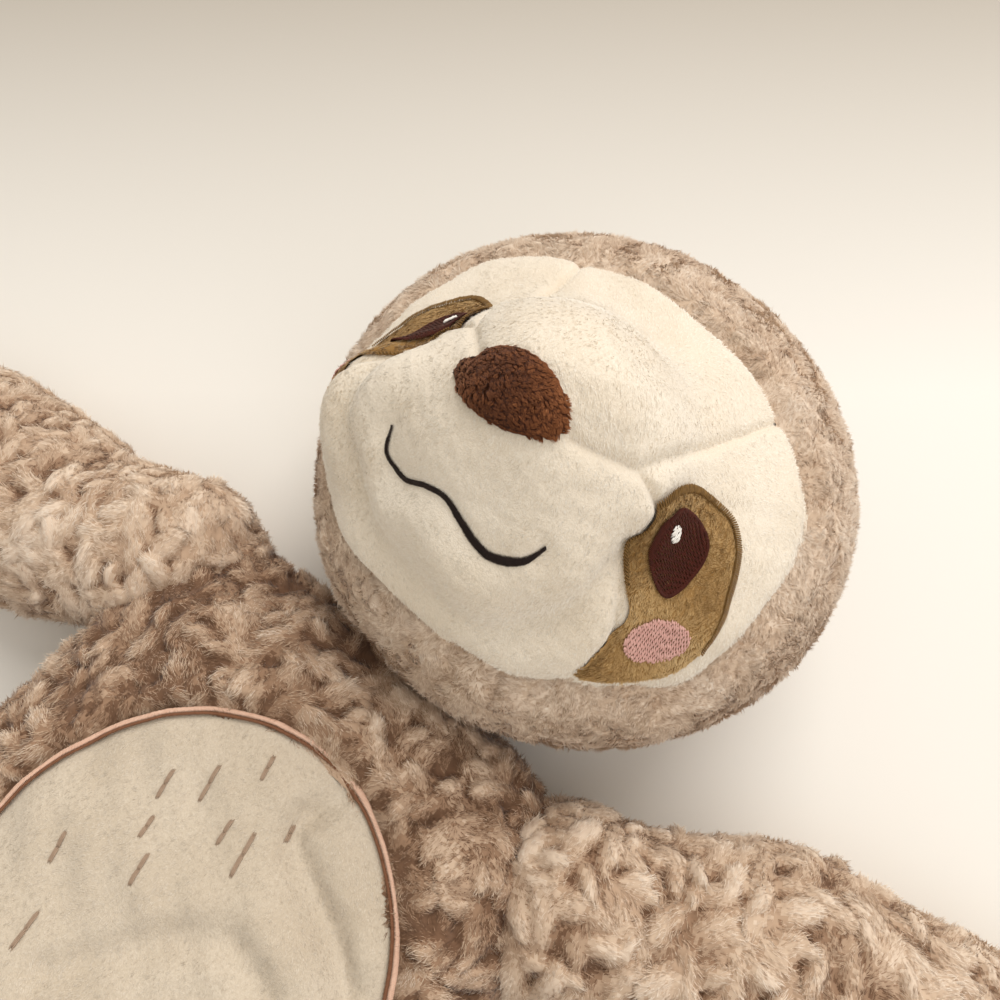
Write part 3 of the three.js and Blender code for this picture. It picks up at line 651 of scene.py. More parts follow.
forehead_line = np.interp(middle_y, forehead_seam[:, 1], forehead_seam[:, 0])
muzzle_line = np.interp(-middle_y, -muzzle_seam[:, 1], muzzle_seam[:, 0])
meet_x, meet_y = SEAMS_MEET
upper = middle_y > meet_y
inner = np.where(upper, left_x < forehead_line, (left_x < meet_x) | (left_x < muzzle_line))
is_forehead = inner & (middle_y > nose_line) & ((left_x < meet_x) | upper)
PANELS = {"forehead_panel": is_forehead, "muzzle_panel": inner & ~is_forehead,
          "left_cheek_panel": ~inner & (middle_x > 0), "right_cheek_panel": ~inner & (middle_x < 0)}
for name, region in PANELS.items():
    panel = new_piece(f"{name}_plush", face_points, grid_faces(face_x, wrap=False, keep=within & region),
                      [cream_minky], "head")
    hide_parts(name)

FUZZ_STYLE = {**FIBRE, "length": 0.7, "width": 0.11, "lean": (70, 89), "swirl": 14, "wander_size": 20,
              "pull": 0.2, "frizz": 0.03, "tones": (0.9, 2.1), "round": 0.0}
cream_pile = pile_tones("cream_minky_pile", ["#ece0cb", "#f3e9d7", "#f8f0e2"])
face_comb = np.stack([face_x * 1.2, face_y - 6, 0 * face_x], axis=-1) @ head_axes
for name, region, seed, count in (("upper", upper, 25, 36000), ("lower", ~upper, 26, 60000)):
    wrapped = np.pad(within & region, ((0, 0), (0, 1)))
    roots, out, lie, area = scatter(face_points, (face_out, face_comb), count, default_rng(seed), wrapped)
    fuzz = grow_pile(f"face_{name}_fuzz", "head", roots, unit(out), lie, FUZZ_STYLE, seed + 2, area,
                     cream_pile)


# Nose: a puffed almond of dark brown pile, sewn on, its nap lying along it. Its outline is an ellipse
# drawn to a point at both ends.
NOSE = {"place": (-2.4, -25.8), "half_width": 12.0, "half_height": 6.3, "degrees": 7.0, "pointed": 1.25,
        "puff": 3.2}


def spun(points, degrees):
    """Places [x, y] turned about the origin."""
    c, s = math.cos(math.radians(degrees)), math.sin(math.radians(degrees))
    return np.asarray(points) @ np.array([[c, s], [-s, c]])


def oval(place, wide, high, degrees=0.0, pointed=1.0, count=80):
    """A closed outline of [x, y] places, turned about its own middle."""
    angle = np.linspace(0, 2 * math.pi, count, endpoint=False)
    y = high * np.sign(np.sin(angle)) * np.abs(np.sin(angle)) ** pointed
    return spun(np.stack([wide * np.cos(angle), y], axis=-1), degrees) + place


def disc(outline, centre, rings=14):
    """A grid of [x, y] places that fills a closed outline from its middle, ring by ring."""
    share = np.linspace(0.001, 1, rings)[:, None, None]
    return np.asarray(centre) + share * (np.asarray(outline) - centre), share[:, 0, 0]


brown_backing = textile("brown_pile_backing", "#5c331c", "#3f2212", **KNIT)
nose_pile = pile_tones("dark_brown_pile", ["#35190c", "#502a15", "#6f3f20", "#8b532d", "#a56a3f"])
almond = oval(NOSE["place"], NOSE["half_width"], NOSE["half_height"], NOSE["degrees"], NOSE["pointed"], 96)
spots, share = disc(almond, NOSE["place"])
dome = NOSE["puff"] * (1 - share ** 2.2) ** 0.6
points, square = on_face(spots[..., 0], spots[..., 1], dome[:, None] * np.ones(len(almond)))
nose = new_piece("nose_cloth", points, grid_faces(spots), [brown_backing], "head")
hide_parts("nose")
NAP_STYLE = {**FIBRE, "lock": 0.75, "length": 1.1, "width": 0.19, "lean": (50, 88), "swirl": 26,
             "wander": 20, "wander_size": 7, "stray": 12, "pull": 0.35, "tones": (1.0, 3.8)}
roots, out, area = scatter(points, (square,), 15000, default_rng(21))
comb = np.tile(head_left, (len(roots), 1))
nap = grow_pile("nose_pile", "head", roots, out, comb, NAP_STYLE, 22, area, nose_pile)


# Embroidery: twisted rayon thread with a silky gloss, laid in rows of short stitches. Each stitch is one
# arched thread. Its twist is finer than a pixel, so the shade where it turns under is painted as a darker
# mottle about one millimetre long.
RAYON = {"grain": 1.1111, "detail": {"Detail": 2.0},
         "finish": {"Roughness": 0.55, "Specular IOR Level": 0.25}}
THREAD_SIDES = 5
UNEVEN_LIFT = 0.03
SATIN_SLANT = 0.25
FILL_ARCH = 0.22


def threads(name, paths, square, radius, material, body):
    """Round threads along paths of points, each drawn to a point at both ends."""
    paths, square = np.asarray(paths, float), np.asarray(square, float)
    count, length = paths.shape[:2]
    along = unit(np.gradient(paths, axis=1))
    side = unit(np.cross(along, square))
    up = np.cross(side, along)
    s = np.linspace(-1, 1, length)
    thick = radius * np.maximum(1 - s ** 6, 0.12)
    turn = np.linspace(0, 2 * math.pi, THREAD_SIDES, endpoint=False)
    ring = (np.cos(turn)[:, None] * side[..., None, :] + np.sin(turn)[:, None] * up[..., None, :])
    points = paths[..., None, :] + ring * thick[None, :, None, None]
    i, j = np.meshgrid(np.arange(length - 1), np.arange(THREAD_SIDES), indexing="ij")
    a, b = i * THREAD_SIDES + j, i * THREAD_SIDES + (j + 1) % THREAD_SIDES
    quads = np.stack([a, a + THREAD_SIDES, b + THREAD_SIDES, b], axis=-1).reshape(1, -1, 4)
    start = (np.arange(count) * length * THREAD_SIDES)[:, None, None]
    first = np.arange(THREAD_SIDES)[None, None, :]
    last = (length - 1) * THREAD_SIDES + np.arange(THREAD_SIDES)[::-1][None, None, :]
    caps = np.concatenate([first + start, last + start], axis=1).reshape(-1, THREAD_SIDES)
    return new_piece(name, points, [(quads + start).reshape(-1, 4), caps], [material], body)


def satin_band(name, line, material, seed, widths, lift, rise, radius, pitch, body="head", surface=on_face):
    """Satin stitch: threads laid side by side across a line, each arched from edge to edge."""
    rng = default_rng(seed)
    line = np.asarray(line, float)
    gone = np.concatenate([[0], np.cumsum(np.linalg.norm(np.diff(line, axis=0), axis=1))])
    count = max(2, int(gone[-1] / pitch))
    at = np.linspace(0, gone[-1], count)
    x, y = np.interp(at, gone, line[:, 0]), np.interp(at, gone, line[:, 1])
    ahead = unit(np.stack([np.gradient(x), np.gradient(y)], axis=-1))
    across = np.stack([-ahead[:, 1], ahead[:, 0]], axis=-1) + SATIN_SLANT * ahead
    wide = np.interp(at / gone[-1], np.linspace(0, 1, len(widths)), widths) / 2
    s = np.linspace(-1, 1, 7)
    reach = wide[:, None] * s[None, :] * rng.uniform(0.93, 1.05, (count, 1))
    px, py = x[:, None] + across[:, :1] * reach, y[:, None] + across[:, 1:] * reach
    height = lift + rise * np.sqrt(1 - 0.92 * s ** 2) + rng.normal(size=(count, 1)) * UNEVEN_LIFT
    points, square = surface(px, py, height)
    return threads(name, points, square, radius, material, body)


def straight_stitches(name, ends, lift, arch, radius, material, body, surface):
    """Short straight threads, each between the two [x, y] places given for it and arched a little."""
    s = np.linspace(0, 1, 6)
    flat = ends[:, :1] * (1 - s)[None, :, None] + ends[:, 1:] * s[None, :, None]
    points, square = surface(flat[..., 0], flat[..., 1], lift + arch * np.sin(math.pi * s) + 0 * flat[..., 0])
    return threads(name, points, square, radius, material, body)


def fill_rows(outline, degrees, pitch, stitch, rng, ragged=0.0):
    """Rows of short stitches that fill an outline: the two ends of each, as [x, y] places."""
    turned_back = spun(outline, -degrees)
    ends = []
    levels = np.arange(turned_back[:, 1].min() + pitch / 2, turned_back[:, 1].max(), pitch)
    for row, level in enumerate(levels):
        nearby = np.roll(turned_back, -1, axis=0)
        crossing = (turned_back[:, 1] - level) * (nearby[:, 1] - level) < 0
        a, b = turned_back[crossing], nearby[crossing]
        cuts = np.sort(a[:, 0] + (level - a[:, 1]) / (b[:, 1] - a[:, 1]) * (b[:, 0] - a[:, 0]))
        for low, high in zip(cuts[::2], cuts[1::2]):
            low, high = low - rng.uniform(0, ragged), high + rng.uniform(0, ragged)
            marks = np.arange(low - stitch * ((row * 0.37) % 1), high, stitch)
            marks = np.clip(np.append(marks, high), low, high)
            ends += [((m, level), (n, level)) for m, n in zip(marks[:-1], marks[1:]) if n - m > pitch]
    return spun(ends, degrees)


def fill_stitch(name, outline, degrees, material, seed, lift, radius, pitch, stitch, ragged=0.0):
    """Fill stitch on the face: an outline covered by rows of short arched threads."""
    rng = default_rng(seed)
    ends = fill_rows(outline, degrees, pitch, stitch, rng, ragged)
    uneven = lift + rng.normal(size=(len(ends), 1)) * UNEVEN_LIFT
    return straight_stitches(name, ends, uneven, FILL_ARCH, radius, material, "head", on_face)


# Mouth: a curved smile in near-black satin stitch, widest at its middle. It lies along the groove that
# the stitches draw into the plush.
mouth_thread = textile("near_black_rayon", "#2a1a14", "#140a07", **RAYON)
MOUTH_STITCH = {"widths": (0.4, 0.7, 0.8, 0.85, 1.0, 1.15, 1.15, 0.5), "lift": 0.1, "rise": 0.35,
                "radius": 0.15, "pitch": 0.22}
mouth = satin_band("mouth_stitches", smile, mouth_thread, 31, **MOUTH_STITCH)
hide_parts("mouth_stitching")


# Eye patches: golden brown velour let in beside the muzzle, rimmed with satin stitch round the top. Each
# carries a pupil, a highlight and a blush in fill stitch. The left one is drawn, and the right one mirrors
# it in all but the highlight.
PATCH_MIDDLE = np.array((39.1, -23.1))
PATCH_OUTER = [(-11.3, 14.4), (-9, 18.9), (-4.5, 21.8), (0, 22.5), (4.5, 19.6), (8.6, 14), (11.8, 7.6),
               (13.4, 0.7), (12.2, -6.3), (8.6, -12.6), (2.3, -19.4), (-2.3, -22)]
PATCH_INNER = [(-2.5, -14.9), (-3, -8), (-7.2, -4.5), (-9.9, 0), (-11.5, 5.4), (-12.2, 9.9)]
velour_backing = textile("golden_velour_backing", "#a07c4a", "#84633a", **KNIT)
velour_nap = pile_tones("golden_velour_nap", ["#94703f", "#a8834f", "#bb965f", "#cba872", "#d8b986"])
rim_thread = textile("dark_gold_rayon", "#9a7640", "#4a3216", **RAYON)
eye_thread = textile("dark_maroon_rayon", "#581f0c", "#300e06", **RAYON)
white_thread = textile("white_rayon", "#fdfbf6", "#e4ded4", **RAYON)
pink_thread = textile("pink_rayon", "#e6bcb0", "#d09f95", **RAYON)
PUPIL = [(30.0, -19.8), (29.2, -16), (29.4, -11.8), (31.3, -9.4), (34, -8), (37.6, -8.3), (39.8, -11.4),
         (40.4, -16), (40, -19.8), (38.6, -22.2), (34.9, -22.8), (31.8, -21.9)]
HIGHLIGHT = {"left": ((31.2, -14.9), 1.2, 1.7), "right": ((-33.4, -11.6), 1.8, 1.4)}
BLUSH = {"place": (43.7, -28.6), "long": 7.3, "wide": 3.6, "degrees": 51.0}
VELOUR_STYLE = {**FIBRE, "length": 0.8, "width": 0.14, "lean": (56, 86), "swirl": 18, "stray": 16,
                "pull": 0.08, "tones": (1.0, 3.0), "round": 0.15}
PATCH_RIM = {"widths": (0.6, 1.1, 1.6, 1.7, 1.5, 0.6), "lift": 0.75, "rise": 0.4, "radius": 0.21,
             "pitch": 0.42}
PUPIL_FILL = {"lift": 1.45, "radius": 0.17, "pitch": 0.28, "stitch": 3.2}
PUPIL_RIM = {"widths": (0.9, 0.9), "lift": 1.35, "rise": 0.35, "radius": 0.15, "pitch": 0.25}
HIGHLIGHT_FILL = {"lift": 1.9, "radius": 0.18, "pitch": 0.27, "stitch": 4.5}
BLUSH_FILL = {"lift": 1.4, "radius": 0.17, "pitch": 0.28, "stitch": 1.8, "ragged": 0.6}

for side, word in ((1, "left"), (-1, "right")):
    mirror = np.array((side, 1))
    outline = (smooth_line(PATCH_OUTER + PATCH_INNER, closed=True) + PATCH_MIDDLE) * mirror
    if side < 0:
        outline = outline[::-1]
    spots, share = disc(outline, (PATCH_MIDDLE + (2, 0)) * mirror, 20)
    lift = 0.5 + 0.4 * (1 - share ** 8)
    points, square = on_face(spots[..., 0], spots[..., 1], lift[:, None] * np.ones(len(outline)))
    patch = new_piece(f"{word}_patch_velour", points, grid_faces(spots), [velour_backing], "head")
    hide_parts(f"{word}_eye_patch")
    roots, out, area = scatter(points, (square,), 26000, default_rng(41 + side))
    comb = np.tile(-head_up + 0.4 * side * head_left, (len(roots), 1))
    nap = grow_pile(f"{word}_patch_nap", "head", roots, out, comb, VELOUR_STYLE, 43 + side, area, velour_nap)
    rim_line = (smooth_line(PATCH_INNER[2:] + PATCH_OUTER[:8]) + PATCH_MIDDLE) * mirror
    rim = satin_band(f"{word}_patch_rim", rim_line, rim_thread, 47 + side, **PATCH_RIM)
    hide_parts(f"{word}_patch_stitching")
    pupil = smooth_line(PUPIL, closed=True) * mirror
    eye = fill_stitch(f"{word}_eye_stitches", pupil, 0, eye_thread, 51 + side, **PUPIL_FILL)
    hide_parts(f"{word}_eye")
    ring = satin_band(f"{word}_eye_rim", np.vstack([pupil, pupil[:1]]), eye_thread, 55 + side, **PUPIL_RIM)
    spot = oval(*HIGHLIGHT[word])
    glint = fill_stitch(f"{word}_highlight_stitches", spot, 90, white_thread, 57 + side, **HIGHLIGHT_FILL)
    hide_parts(f"{word}_eye_highlight")
    cheek = oval(np.array(BLUSH["place"]) * mirror, BLUSH["long"], BLUSH["wide"], side * BLUSH["degrees"])
    blush = fill_stitch(f"{word}_blush_stitches", cheek, side * (BLUSH["degrees"] + 70), pink_thread,
                        61 + side, **BLUSH_FILL)
    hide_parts(f"{word}_blush")


# Body: a flat, soft bag of the same fur cloth in a front and a back half, lightly stuffed. Each ring is
# a share of the length, of the half width and of the half thickness.
BODY = {"top": 9.0, "length": 166.0, "half_width": 73.0, "half_thick": 27.5, "middle": 27.0, "power": 2.3,
        "side_seam": 21.0}
BODY_RINGS = [(0, 0, 0), (0.008, 0.5, 0.12), (0.024, 0.74, 0.24), (0.055, 0.88, 0.38), (0.1, 0.94, 0.54),
              (0.17, 0.93, 0.74), (0.27, 0.9, 0.9), (0.42, 0.92, 1), (0.6, 0.98, 1), (0.75, 1, 0.96),
              (0.86, 0.92, 0.85), (0.93, 0.76, 0.68), (0.975, 0.52, 0.44), (0.995, 0.24, 0.2), (1, 0, 0)]


LEAST_RADIUS, END_DRAWN = 0.4, 3.0
MOST_FIBRES = 62000
LUMPS = ((0.8, 34, 71), (0.4, 13, 72))


def stuffed_form(rings, power, sides, gap, origin, across, ahead):
    """A grid of points over rings of [along, half width, half thickness, height], drawn shut at both ends."""
    rings = smooth_line(rings)
    rings[:, 1:3] = np.maximum(rings[:, 1:3], LEAST_RADIUS)
    gone = np.concatenate([[0], np.cumsum(np.linalg.norm(np.diff(rings, axis=0), axis=1))])
    at = np.linspace(0, gone[-1], int(gone[-1] / gap))
    along, wide, thick, high = (np.interp(at, gone, column)[:, None] for column in rings.T)
    angle = np.linspace(0, 2 * math.pi, sides, endpoint=False)
    x = wide * np.sign(np.cos(angle)) * np.abs(np.cos(angle)) ** (2 / power)
    z = high + thick * np.sign(np.sin(angle)) * np.abs(np.sin(angle)) ** (2 / power)
    points = (np.asarray(origin) + x[..., None] * np.asarray(across) + (along + 0 * x)[..., None]
              * np.asarray(ahead) + z[..., None] * np.array((0, 0, 1.0)))
    out = grid_normals(points)
    middle = points.mean(axis=1, keepdims=True)
    out = out * np.sign(((points - middle) * out).sum(-1).mean())
    lumps = sum(tall * drift(points, size, seed) for tall, size, seed in LUMPS)
    points = points + out * lumps[..., None]
    for row, way, from_end in ((0, -1, at), (-1, 1, gone[-1] - at)):
        points[row] = points[row].mean(axis=0)
        near_end = ridge(from_end, 1, END_DRAWN)[:, None, None]
        out = unit(out * (1 - near_end) + near_end * way * np.asarray(ahead, float))
    points[..., 2] = np.maximum(points[..., 2], LOWEST)
    return points, out


def fur_halves(name, body, grid, out, comb, seam, nodes, counts, seed, skip=None, fade=1.0, shade=0.0):
    """Fur cloth over a form, in a front and a back half that meet at a height, with its pile."""
    top, top_out, lie, high = tufted(grid, out, comb, BODY_TUFT, seed, fade)
    top[0], top[-1] = top[0].mean(axis=0), top[-1].mean(axis=0)
    # Painted shade: a shade below nought darkens every tone of the cloth and of its pile.
    tones = tuft_slots(high, (0.1 + shade, 3.9 + shade), seed + 3, top)
    style = {**BODY_STYLE, "tones": [tone + shade for tone in BODY_STYLE["tones"]]}
    in_front = grid[:-1, :, 2] > seam
    for number, (word, part) in enumerate((("front", in_front), ("back", ~in_front))):
        part = part if skip is None else part & ~skip
        cloth = new_piece(f"{name}_{word}_cloth", top, grid_faces(grid, keep=part), tan_pile, body,
                          tones[part])
        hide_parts(*nodes[number])
        count = counts[number]
        roots, away, flow, depth, area = scatter(top, (top_out, lie, high[..., None]), count,
                                                 default_rng(seed + 4 + number), part)
        sheets = math.ceil(count / MOST_FIBRES)
        for sheet in range(sheets):
            some = slice(sheet * count // sheets, (sheet + 1) * count // sheets)
            pile = grow_pile(f"{name}_{word}_pile_{sheet + 1}", body, roots[some], unit(away[some]),
                             flow[some], style, seed + 10 * number + sheet, area, tan_pile, depth[some, 0])


BODY_TUFT = {**CURL, "apart": 4.4, "long": 5.6, "wide": 2.7, "base": 2.8, "high": 2.7, "wander": 90,
             "wander_size": 26, "stray": 22}
BODY_STYLE = {**FIBRE, "lock": 0.8, "length": 2.1, "width": 0.16, "lean": (48, 86), "swirl": 15,
              "wander": 12, "pull": 0.3, "frizz": 0.07, "tones": (1.2, 3.6), "depth": 4.4, "round": 0.25}
body_rings = [(-BODY["top"] - along * BODY["length"], wide * BODY["half_width"], thick * BODY["half_thick"],
               BODY["middle"]) for along, wide, thick in BODY_RINGS]
body_origin = np.array((neck_pivot[0], neck_pivot[1], 0.0))
body_grid, body_out = stuffed_form(body_rings, BODY["power"], 440, 0.75, body_origin, (1, 0, 0), (0, 1, 0))
BELLY = {"below_neck": 87.5, "aside": 6.0, "half_width": 49.5, "half_height": 52.0, "mean": 51.0,
         "cut": -0.9, "bare": 1.2, "rise": 3.5}
belly_centre = body_origin + np.array((BELLY["aside"], -BELLY["below_neck"], 0))
from_belly = (np.hypot((body_grid[..., 0] - belly_centre[0]) / BELLY["half_width"],
                       (body_grid[..., 1] - belly_centre[1]) / BELLY["half_height"]) - 1) * BELLY["mean"]
on_front = body_grid[..., 2] > BODY["middle"]
under_belly = (on_front & (from_belly < BELLY["cut"]))[:-1]
belly_fade = np.where(on_front, np.clip((from_belly - BELLY["bare"]) / BELLY["rise"], -0.8, 1), 1)
body_comb = np.stack([(body_grid[..., 0] - neck_pivot[0]) / 80, 0 * body_grid[..., 0] - 1,
                      0 * body_grid[..., 0] - 0.2], axis=-1)
# The torso's fur takes darker tones than the limbs' as painted shade, the shadow that falls over the torso.
fur_halves("body", "torso", body_grid, body_out, body_comb, BODY["side_seam"],
           (["body_front_fur", "body_stuffing"], ["body_back_fur"]), (110000, 30000), 73, under_belly,
           belly_fade, shade=-1.4)


# Belly: an oval of smooth cream plush let into the front, edged with satin stitch in peach thread over
# brown, and marked with a few single stitches of taupe thread. A soft fold crosses it. The brown thread
# under the rim's inner edge is painted shade along the rim.
BELLY_FOLD = [(9, 50), (5, 37), (13, 31.5), (24.6, 26.7), (36, 21)]
BELLY_CREASE = [(-14, -14), (-5, -2), (3, 8), (12.3, 13), (24, 11)]
BELLY_PUFF = 1.6
FOLD_GROOVE, CREASE_GROOVE, FOLD_EASE = (4.8, 3.8), (3.0, 4.2), 0.2
belly_fold, belly_crease = smooth_line(BELLY_FOLD), smooth_line(BELLY_CREASE)
profile = np.array(body_rings)[::-1]


def belly_height(x, y):
    """How high the belly's plush lies, with its two soft folds."""
    along = y - BELLY["below_neck"]
    wide, thick = (np.interp(along, profile[:, 0], profile[:, k]) for k in (1, 2))
    inside = np.clip(1 - np.abs((x + BELLY["aside"]) / wide) ** BODY["power"], 0.001, 1)
    rim = 1 - np.hypot(x / BELLY["half_width"], y / BELLY["half_height"])
    folds = (ridge(from_line(x, y, belly_fold), *FOLD_GROOVE)
             + ridge(from_line(x, y, belly_crease), *CREASE_GROOVE))
    relief = BELLY_PUFF * np.clip(rim, 0, 1) ** 0.5 - folds * np.clip(rim / FOLD_EASE, 0, 1)
    spots = np.stack([x, y, 0 * x], axis=-1)
    return (BODY["middle"] + thick * inside ** (1 / BODY["power"]) + relief
            + 0.9 * drift(spots, 30, 81) + 0.25 * drift(spots, 9, 82))


def on_belly(x, y, lift=0.0):
    """Places on the body's front, from [x, y] about the belly's middle, and the way square to it."""
    places, square = on_height(belly_height, np.asarray(x, float), np.asarray(y, float), 0.4)
    return places + square * np.asarray(lift)[..., None] + belly_centre, square


rim_line = oval((0, 0), BELLY["half_width"], BELLY["half_height"], count=260)
spots, share = disc(rim_line * 1.01, (0, 0), 110)
points, square = on_belly(spots[..., 0], spots[..., 1])
# The belly's cream is darker than the face's as painted shade, the shadow that falls over the torso; so are
# the tones of its fuzz.
belly_minky_painted_shade = textile("belly_minky_painted_shade", "#d6c9b5", "#c4b59f", **MINKY)
belly = new_piece("belly_plush", points, grid_faces(spots), [belly_minky_painted_shade], "torso")
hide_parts("belly_panel")
out_comb = np.stack([0.3 * spots[..., 0], spots[..., 1] - 60, 0 * spots[..., 0]], axis=-1)
roots, out, lie, area = scatter(points, (square, out_comb), 60000, default_rng(86))
belly_pile_painted_shade = pile_tones("belly_minky_pile", ["#c9bba6", "#d3c6b2", "#dcd0be"])
belly_fuzz = grow_pile("belly_fuzz", "torso", roots, unit(out), lie, FUZZ_STYLE, 87, area, belly_pile_painted_shade)
peach_thread = textile("peach_rayon", "#e6c6b0", "#cfa78e", **RAYON)
brown_thread = textile("brown_rayon", "#8d6145", "#6a452f", **RAYON)
taupe_thread = textile("taupe_rayon", "#b39b85", "#917a66", **RAYON)
closed_rim = np.vstack([rim_line, rim_line[:1]])
BELLY_RIM = {"rise": 0.5, "radius": 0.19, "pitch": 0.3, "body": "torso", "surface": on_belly}
# The brown band is painted shade along the rim's inner edge.
for name, grown, wide, lift, thread, seed in (("belly_rim_peach", 1.004, 1.5, 0.9, peach_thread, 83),
                                              ("belly_rim_brown", 0.984, 0.7, 0.7, brown_thread, 84)):
    band = satin_band(name, closed_rim * grown, thread, seed, (wide, wide), lift, **BELLY_RIM)
    if name == "belly_rim_peach":
        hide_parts("belly_edge_stitching")

DASHES = [(-24, 25, 7, 106), (-16.5, 31.5, 9, 103), (-8.7, 42, 6, 108), (-20, 17, 5, 104), (-6, 27, 6, 101),
          (0.6, 26, 10, 105), (4.6, 35, 4, 110), (-14.3, 10.7, 7, 106), (-32, 2, 7, 108), (-24, -12, 8, 101),
          (-4, -18, 7, 105), (-36, -14, 6, 104), (-12, -32, 8, 103), (14, -10, 6, 109), (28, -4, 8, 98),
          (18, -30, 8, 101)]
rng = default_rng(85)
ends = []
for x, y, long, degrees in DASHES:
    ahead = spun((1, 0), degrees)
    beside = np.array((-ahead[1], ahead[0]))
    for k in (-1, 0, 1):
        start = np.array((x, y)) + beside * k * 0.3 - ahead * long / 2 * rng.uniform(0.85, 1)
        ends += [(start + ahead * long * a, start + ahead * long * b) for a, b in ((0, 0.55), (0.45, 1))]
marks = straight_stitches("belly_dashes", np.array(ends), 0.1, 0.25, 0.2, taupe_thread, "torso", on_belly)


# Neck: a wad of fill covered in fur cloth, and the ring of tan thread that sews the head to the body,
# wound round the wad thirty times.
NECK = {"radius": 14.5, "thread": 1.6, "gap": 0.3, "coil": 0.55, "turns": 30, "fine": 0.32}
ball = ball_directions(24, 48, 88)
wad = new_piece("neck_wad_cloth", neck_pivot + ball * NECK["radius"], grid_faces(ball), [tan_backing],
                "neck_wad")
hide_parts("neck_stuffing")
ring_angle = np.linspace(0, 2 * math.pi, 900)
far = NECK["radius"] + NECK["gap"] + NECK["thread"] / 2 + NECK["coil"] * np.cos(ring_angle * NECK["turns"])
ring_out = np.stack([np.cos(ring_angle), 0 * ring_angle, np.sin(ring_angle)], axis=-1)
coil = ring_out * far[:, None]
coil[:, 1] = NECK["coil"] * np.sin(ring_angle * NECK["turns"])
tan_thread = textile("tan_rayon", "#b49a80", "#8b7259", **RAYON)
ring = threads("neck_ring_thread", neck_pivot + coil[None], ring_out[None], NECK["fine"], tan_thread,
               "neck_ring")
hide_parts("neck_thread")


# Arms and legs: tubes of the same fur cloth, stuffed round at the hand and the foot, and sewn into the
# body at a wad of fill. Three curved claws of cream plush are let into each end. The arms bend a little
# to the side near their roots.
LIMBS = {
    "arm": {"length": 168.0, "half_width": 26.0, "half_thick": 21.5, "root": 20.0, "seam": "shoulder",
            "end": "hand", "fibres": (46000, 12000), "sides": 190, "gap": 0.75,
            "rings": [(0.1, 0.74, 0.87), (0.24, 0.86, 0.98), (0.42, 1, 1), (0.62, 0.97, 0.97),
                      (0.78, 0.9, 0.93), (0.9, 0.8, 0.8), (0.97, 0.5, 0.5)]},
    "leg": {"length": 122.0, "half_width": 29.0, "half_thick": 24.0, "root": 21.0, "seam": "hip",
            "end": "foot", "fibres": (26000, 10000), "sides": 140, "gap": 1.1,
            "rings": [(0.14, 0.78, 0.85), (0.32, 0.9, 0.96), (0.52, 0.95, 0.97), (0.7, 1, 1),
                      (0.84, 0.94, 0.94), (0.93, 0.74, 0.72), (0.985, 0.4, 0.38)]},
}
ARM_BENDS = {"left_arm": (50, 20, -4.0), "right_arm": (35, 30, -5.0)}
PIVOT_HEIGHT = 25.0
FLAT_CUT = 0.5
RESTING, SETTLED = 0.9, 0.5
WAD = {"smaller": 2.0, "share": 0.92}
CLAW = {"length": 26.0, "half_width": 4.6, "half_thick": 4.0, "pitch": 9.5, "curl": 5.0}
CLAW_RINGS = [(0, 0.6), (0.05, 0.9), (0.3, 1.02), (0.6, 0.92), (0.85, 0.62), (0.96, 0.32), (1, 0.02)]
CLAW_BASE = {"half_width": 16.0, "half_length": 10.0, "half_thick": 8.0}
OVER_TABLE = 50.0
claw_plush = textile("cream_claw_plush", "#e2d3bb", "#c9b699", **MINKY)


def limb_rings(limb):
    """Rings of a limb from its round root: [along, half width, half thickness, height]."""
    rings = []
    for degrees in (0, 30, 60, 90):
        radius = limb["root"] * math.sin(math.radians(degrees))
        rings.append((-limb["root"] * math.cos(math.radians(degrees)), radius, radius, PIVOT_HEIGHT))
    beyond, lift = limb["length"] - limb["root"], 0.0
    for along, wide, thick in limb["rings"]:
        if thick > RESTING:
            lift = min(1, along / SETTLED) * (thick * limb["half_thick"] - FLAT_CUT - PIVOT_HEIGHT)
        rings.append((along * beyond, wide * limb["half_width"], thick * limb["half_thick"],
                      PIVOT_HEIGHT + lift))
    return rings + [(beyond, 0, 0, PIVOT_HEIGHT + lift)]


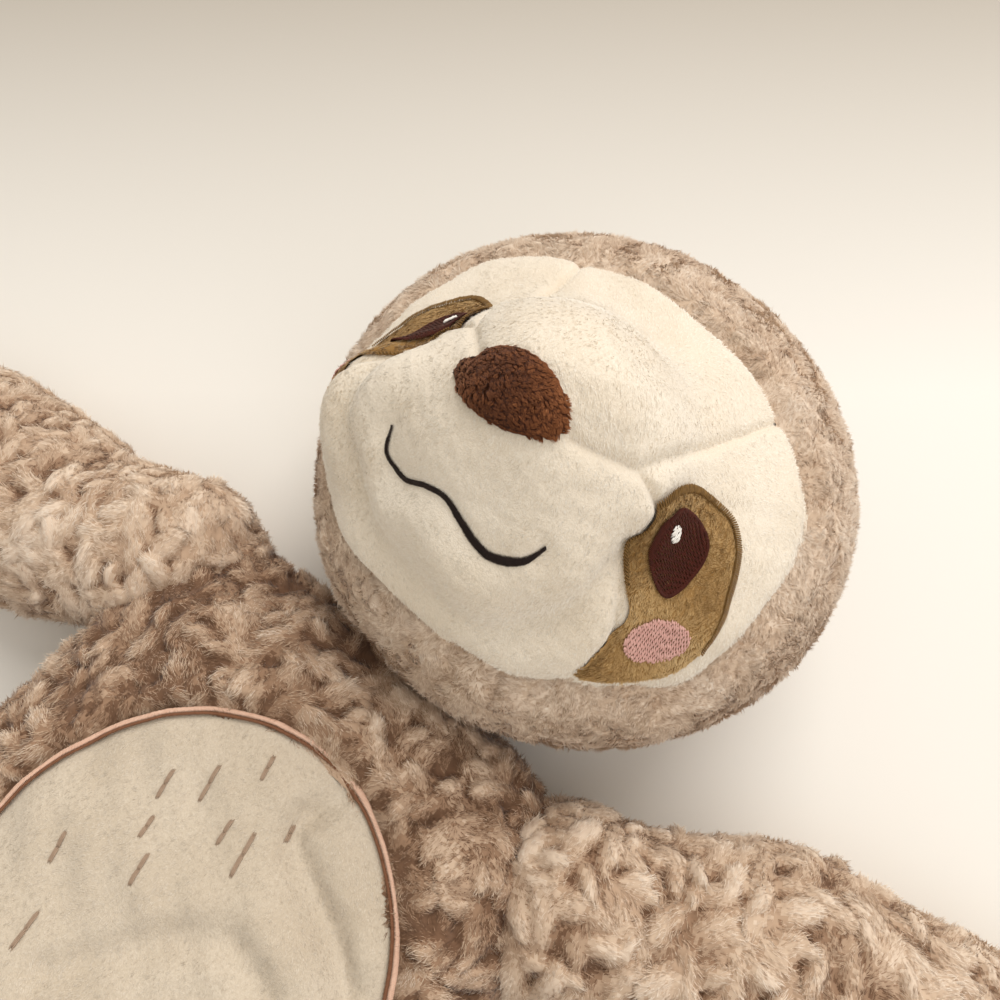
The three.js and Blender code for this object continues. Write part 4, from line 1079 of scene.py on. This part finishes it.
claw_rings = [(along * CLAW["length"], thick * CLAW["half_width"], thick * CLAW["half_thick"],
               CLAW["curl"] * along ** 2) for along, thick in CLAW_RINGS]
claw_grid, _ = stuffed_form(claw_rings, 2, 28, 0.8, (0, 0, OVER_TABLE), (1, 0, 0), (0, 1, 0))
for number, (side, kind) in enumerate((("left", "arm"), ("right", "arm"), ("left", "leg"), ("right", "leg"))):
    limb, name = LIMBS[kind], f"{side}_{kind}"
    seam, end = f"{side}_{limb['seam']}", f"{side}_{limb['end']}"
    pivot = np.array(joints[f"{seam}_lift"]["pos_m"]) / MM
    across = np.array(joints[f"{seam}_lift"]["axis"])
    ahead = np.cross((0, 0, 1), across)
    axes = np.array([across, ahead, (0, 0, 1)])
    origin = np.array((pivot[0], pivot[1], 0.0))
    grid, out = stuffed_form(limb_rings(limb), 2, limb["sides"], limb["gap"], origin, across, ahead)
    middle, reach, bend = ARM_BENDS.get(name, (0, 1, 0))
    grid = grid + ridge((grid - origin) @ ahead - middle, bend, reach)[..., None] * across
    nodes = ([f"{name}_front_fur", f"{name}_stuffing"], [f"{name}_back_fur"])
    fur_halves(name, name, grid, out, np.tile(ahead, (*grid.shape[:2], 1)), limb["half_thick"] - FLAT_CUT,
               nodes, limb["fibres"], 91 + 20 * number)

    wad = new_piece(f"{name}_root_wad", pivot + ball * WAD["share"] * (limb["root"] - WAD["smaller"]),
                    grid_faces(ball), [tan_backing], seam)
    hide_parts(f"{seam}_stuffing")

    tip = np.array((0, limb["length"] - limb["root"] - CLAW_BASE["half_length"] / 2,
                    limb["half_thick"] * 0.5 + CLAW["half_thick"]))
    shapes = [ball * (CLAW_BASE["half_width"], CLAW_BASE["half_length"], CLAW_BASE["half_thick"])]
    shapes += [claw_grid + (place * CLAW["pitch"], 0, -OVER_TABLE) for place in (-1, 0, 1)]
    points, faces = np.zeros((0, 3)), []
    for shape in shapes:
        faces.append(grid_faces(shape) + len(points))
        points = np.vstack([points, ((shape + tip) @ axes + origin).reshape(-1, 3)])
    claws = new_piece(f"{end}_claws_plush", points, faces, [claw_plush], name)
    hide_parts(f"{end}_claws")
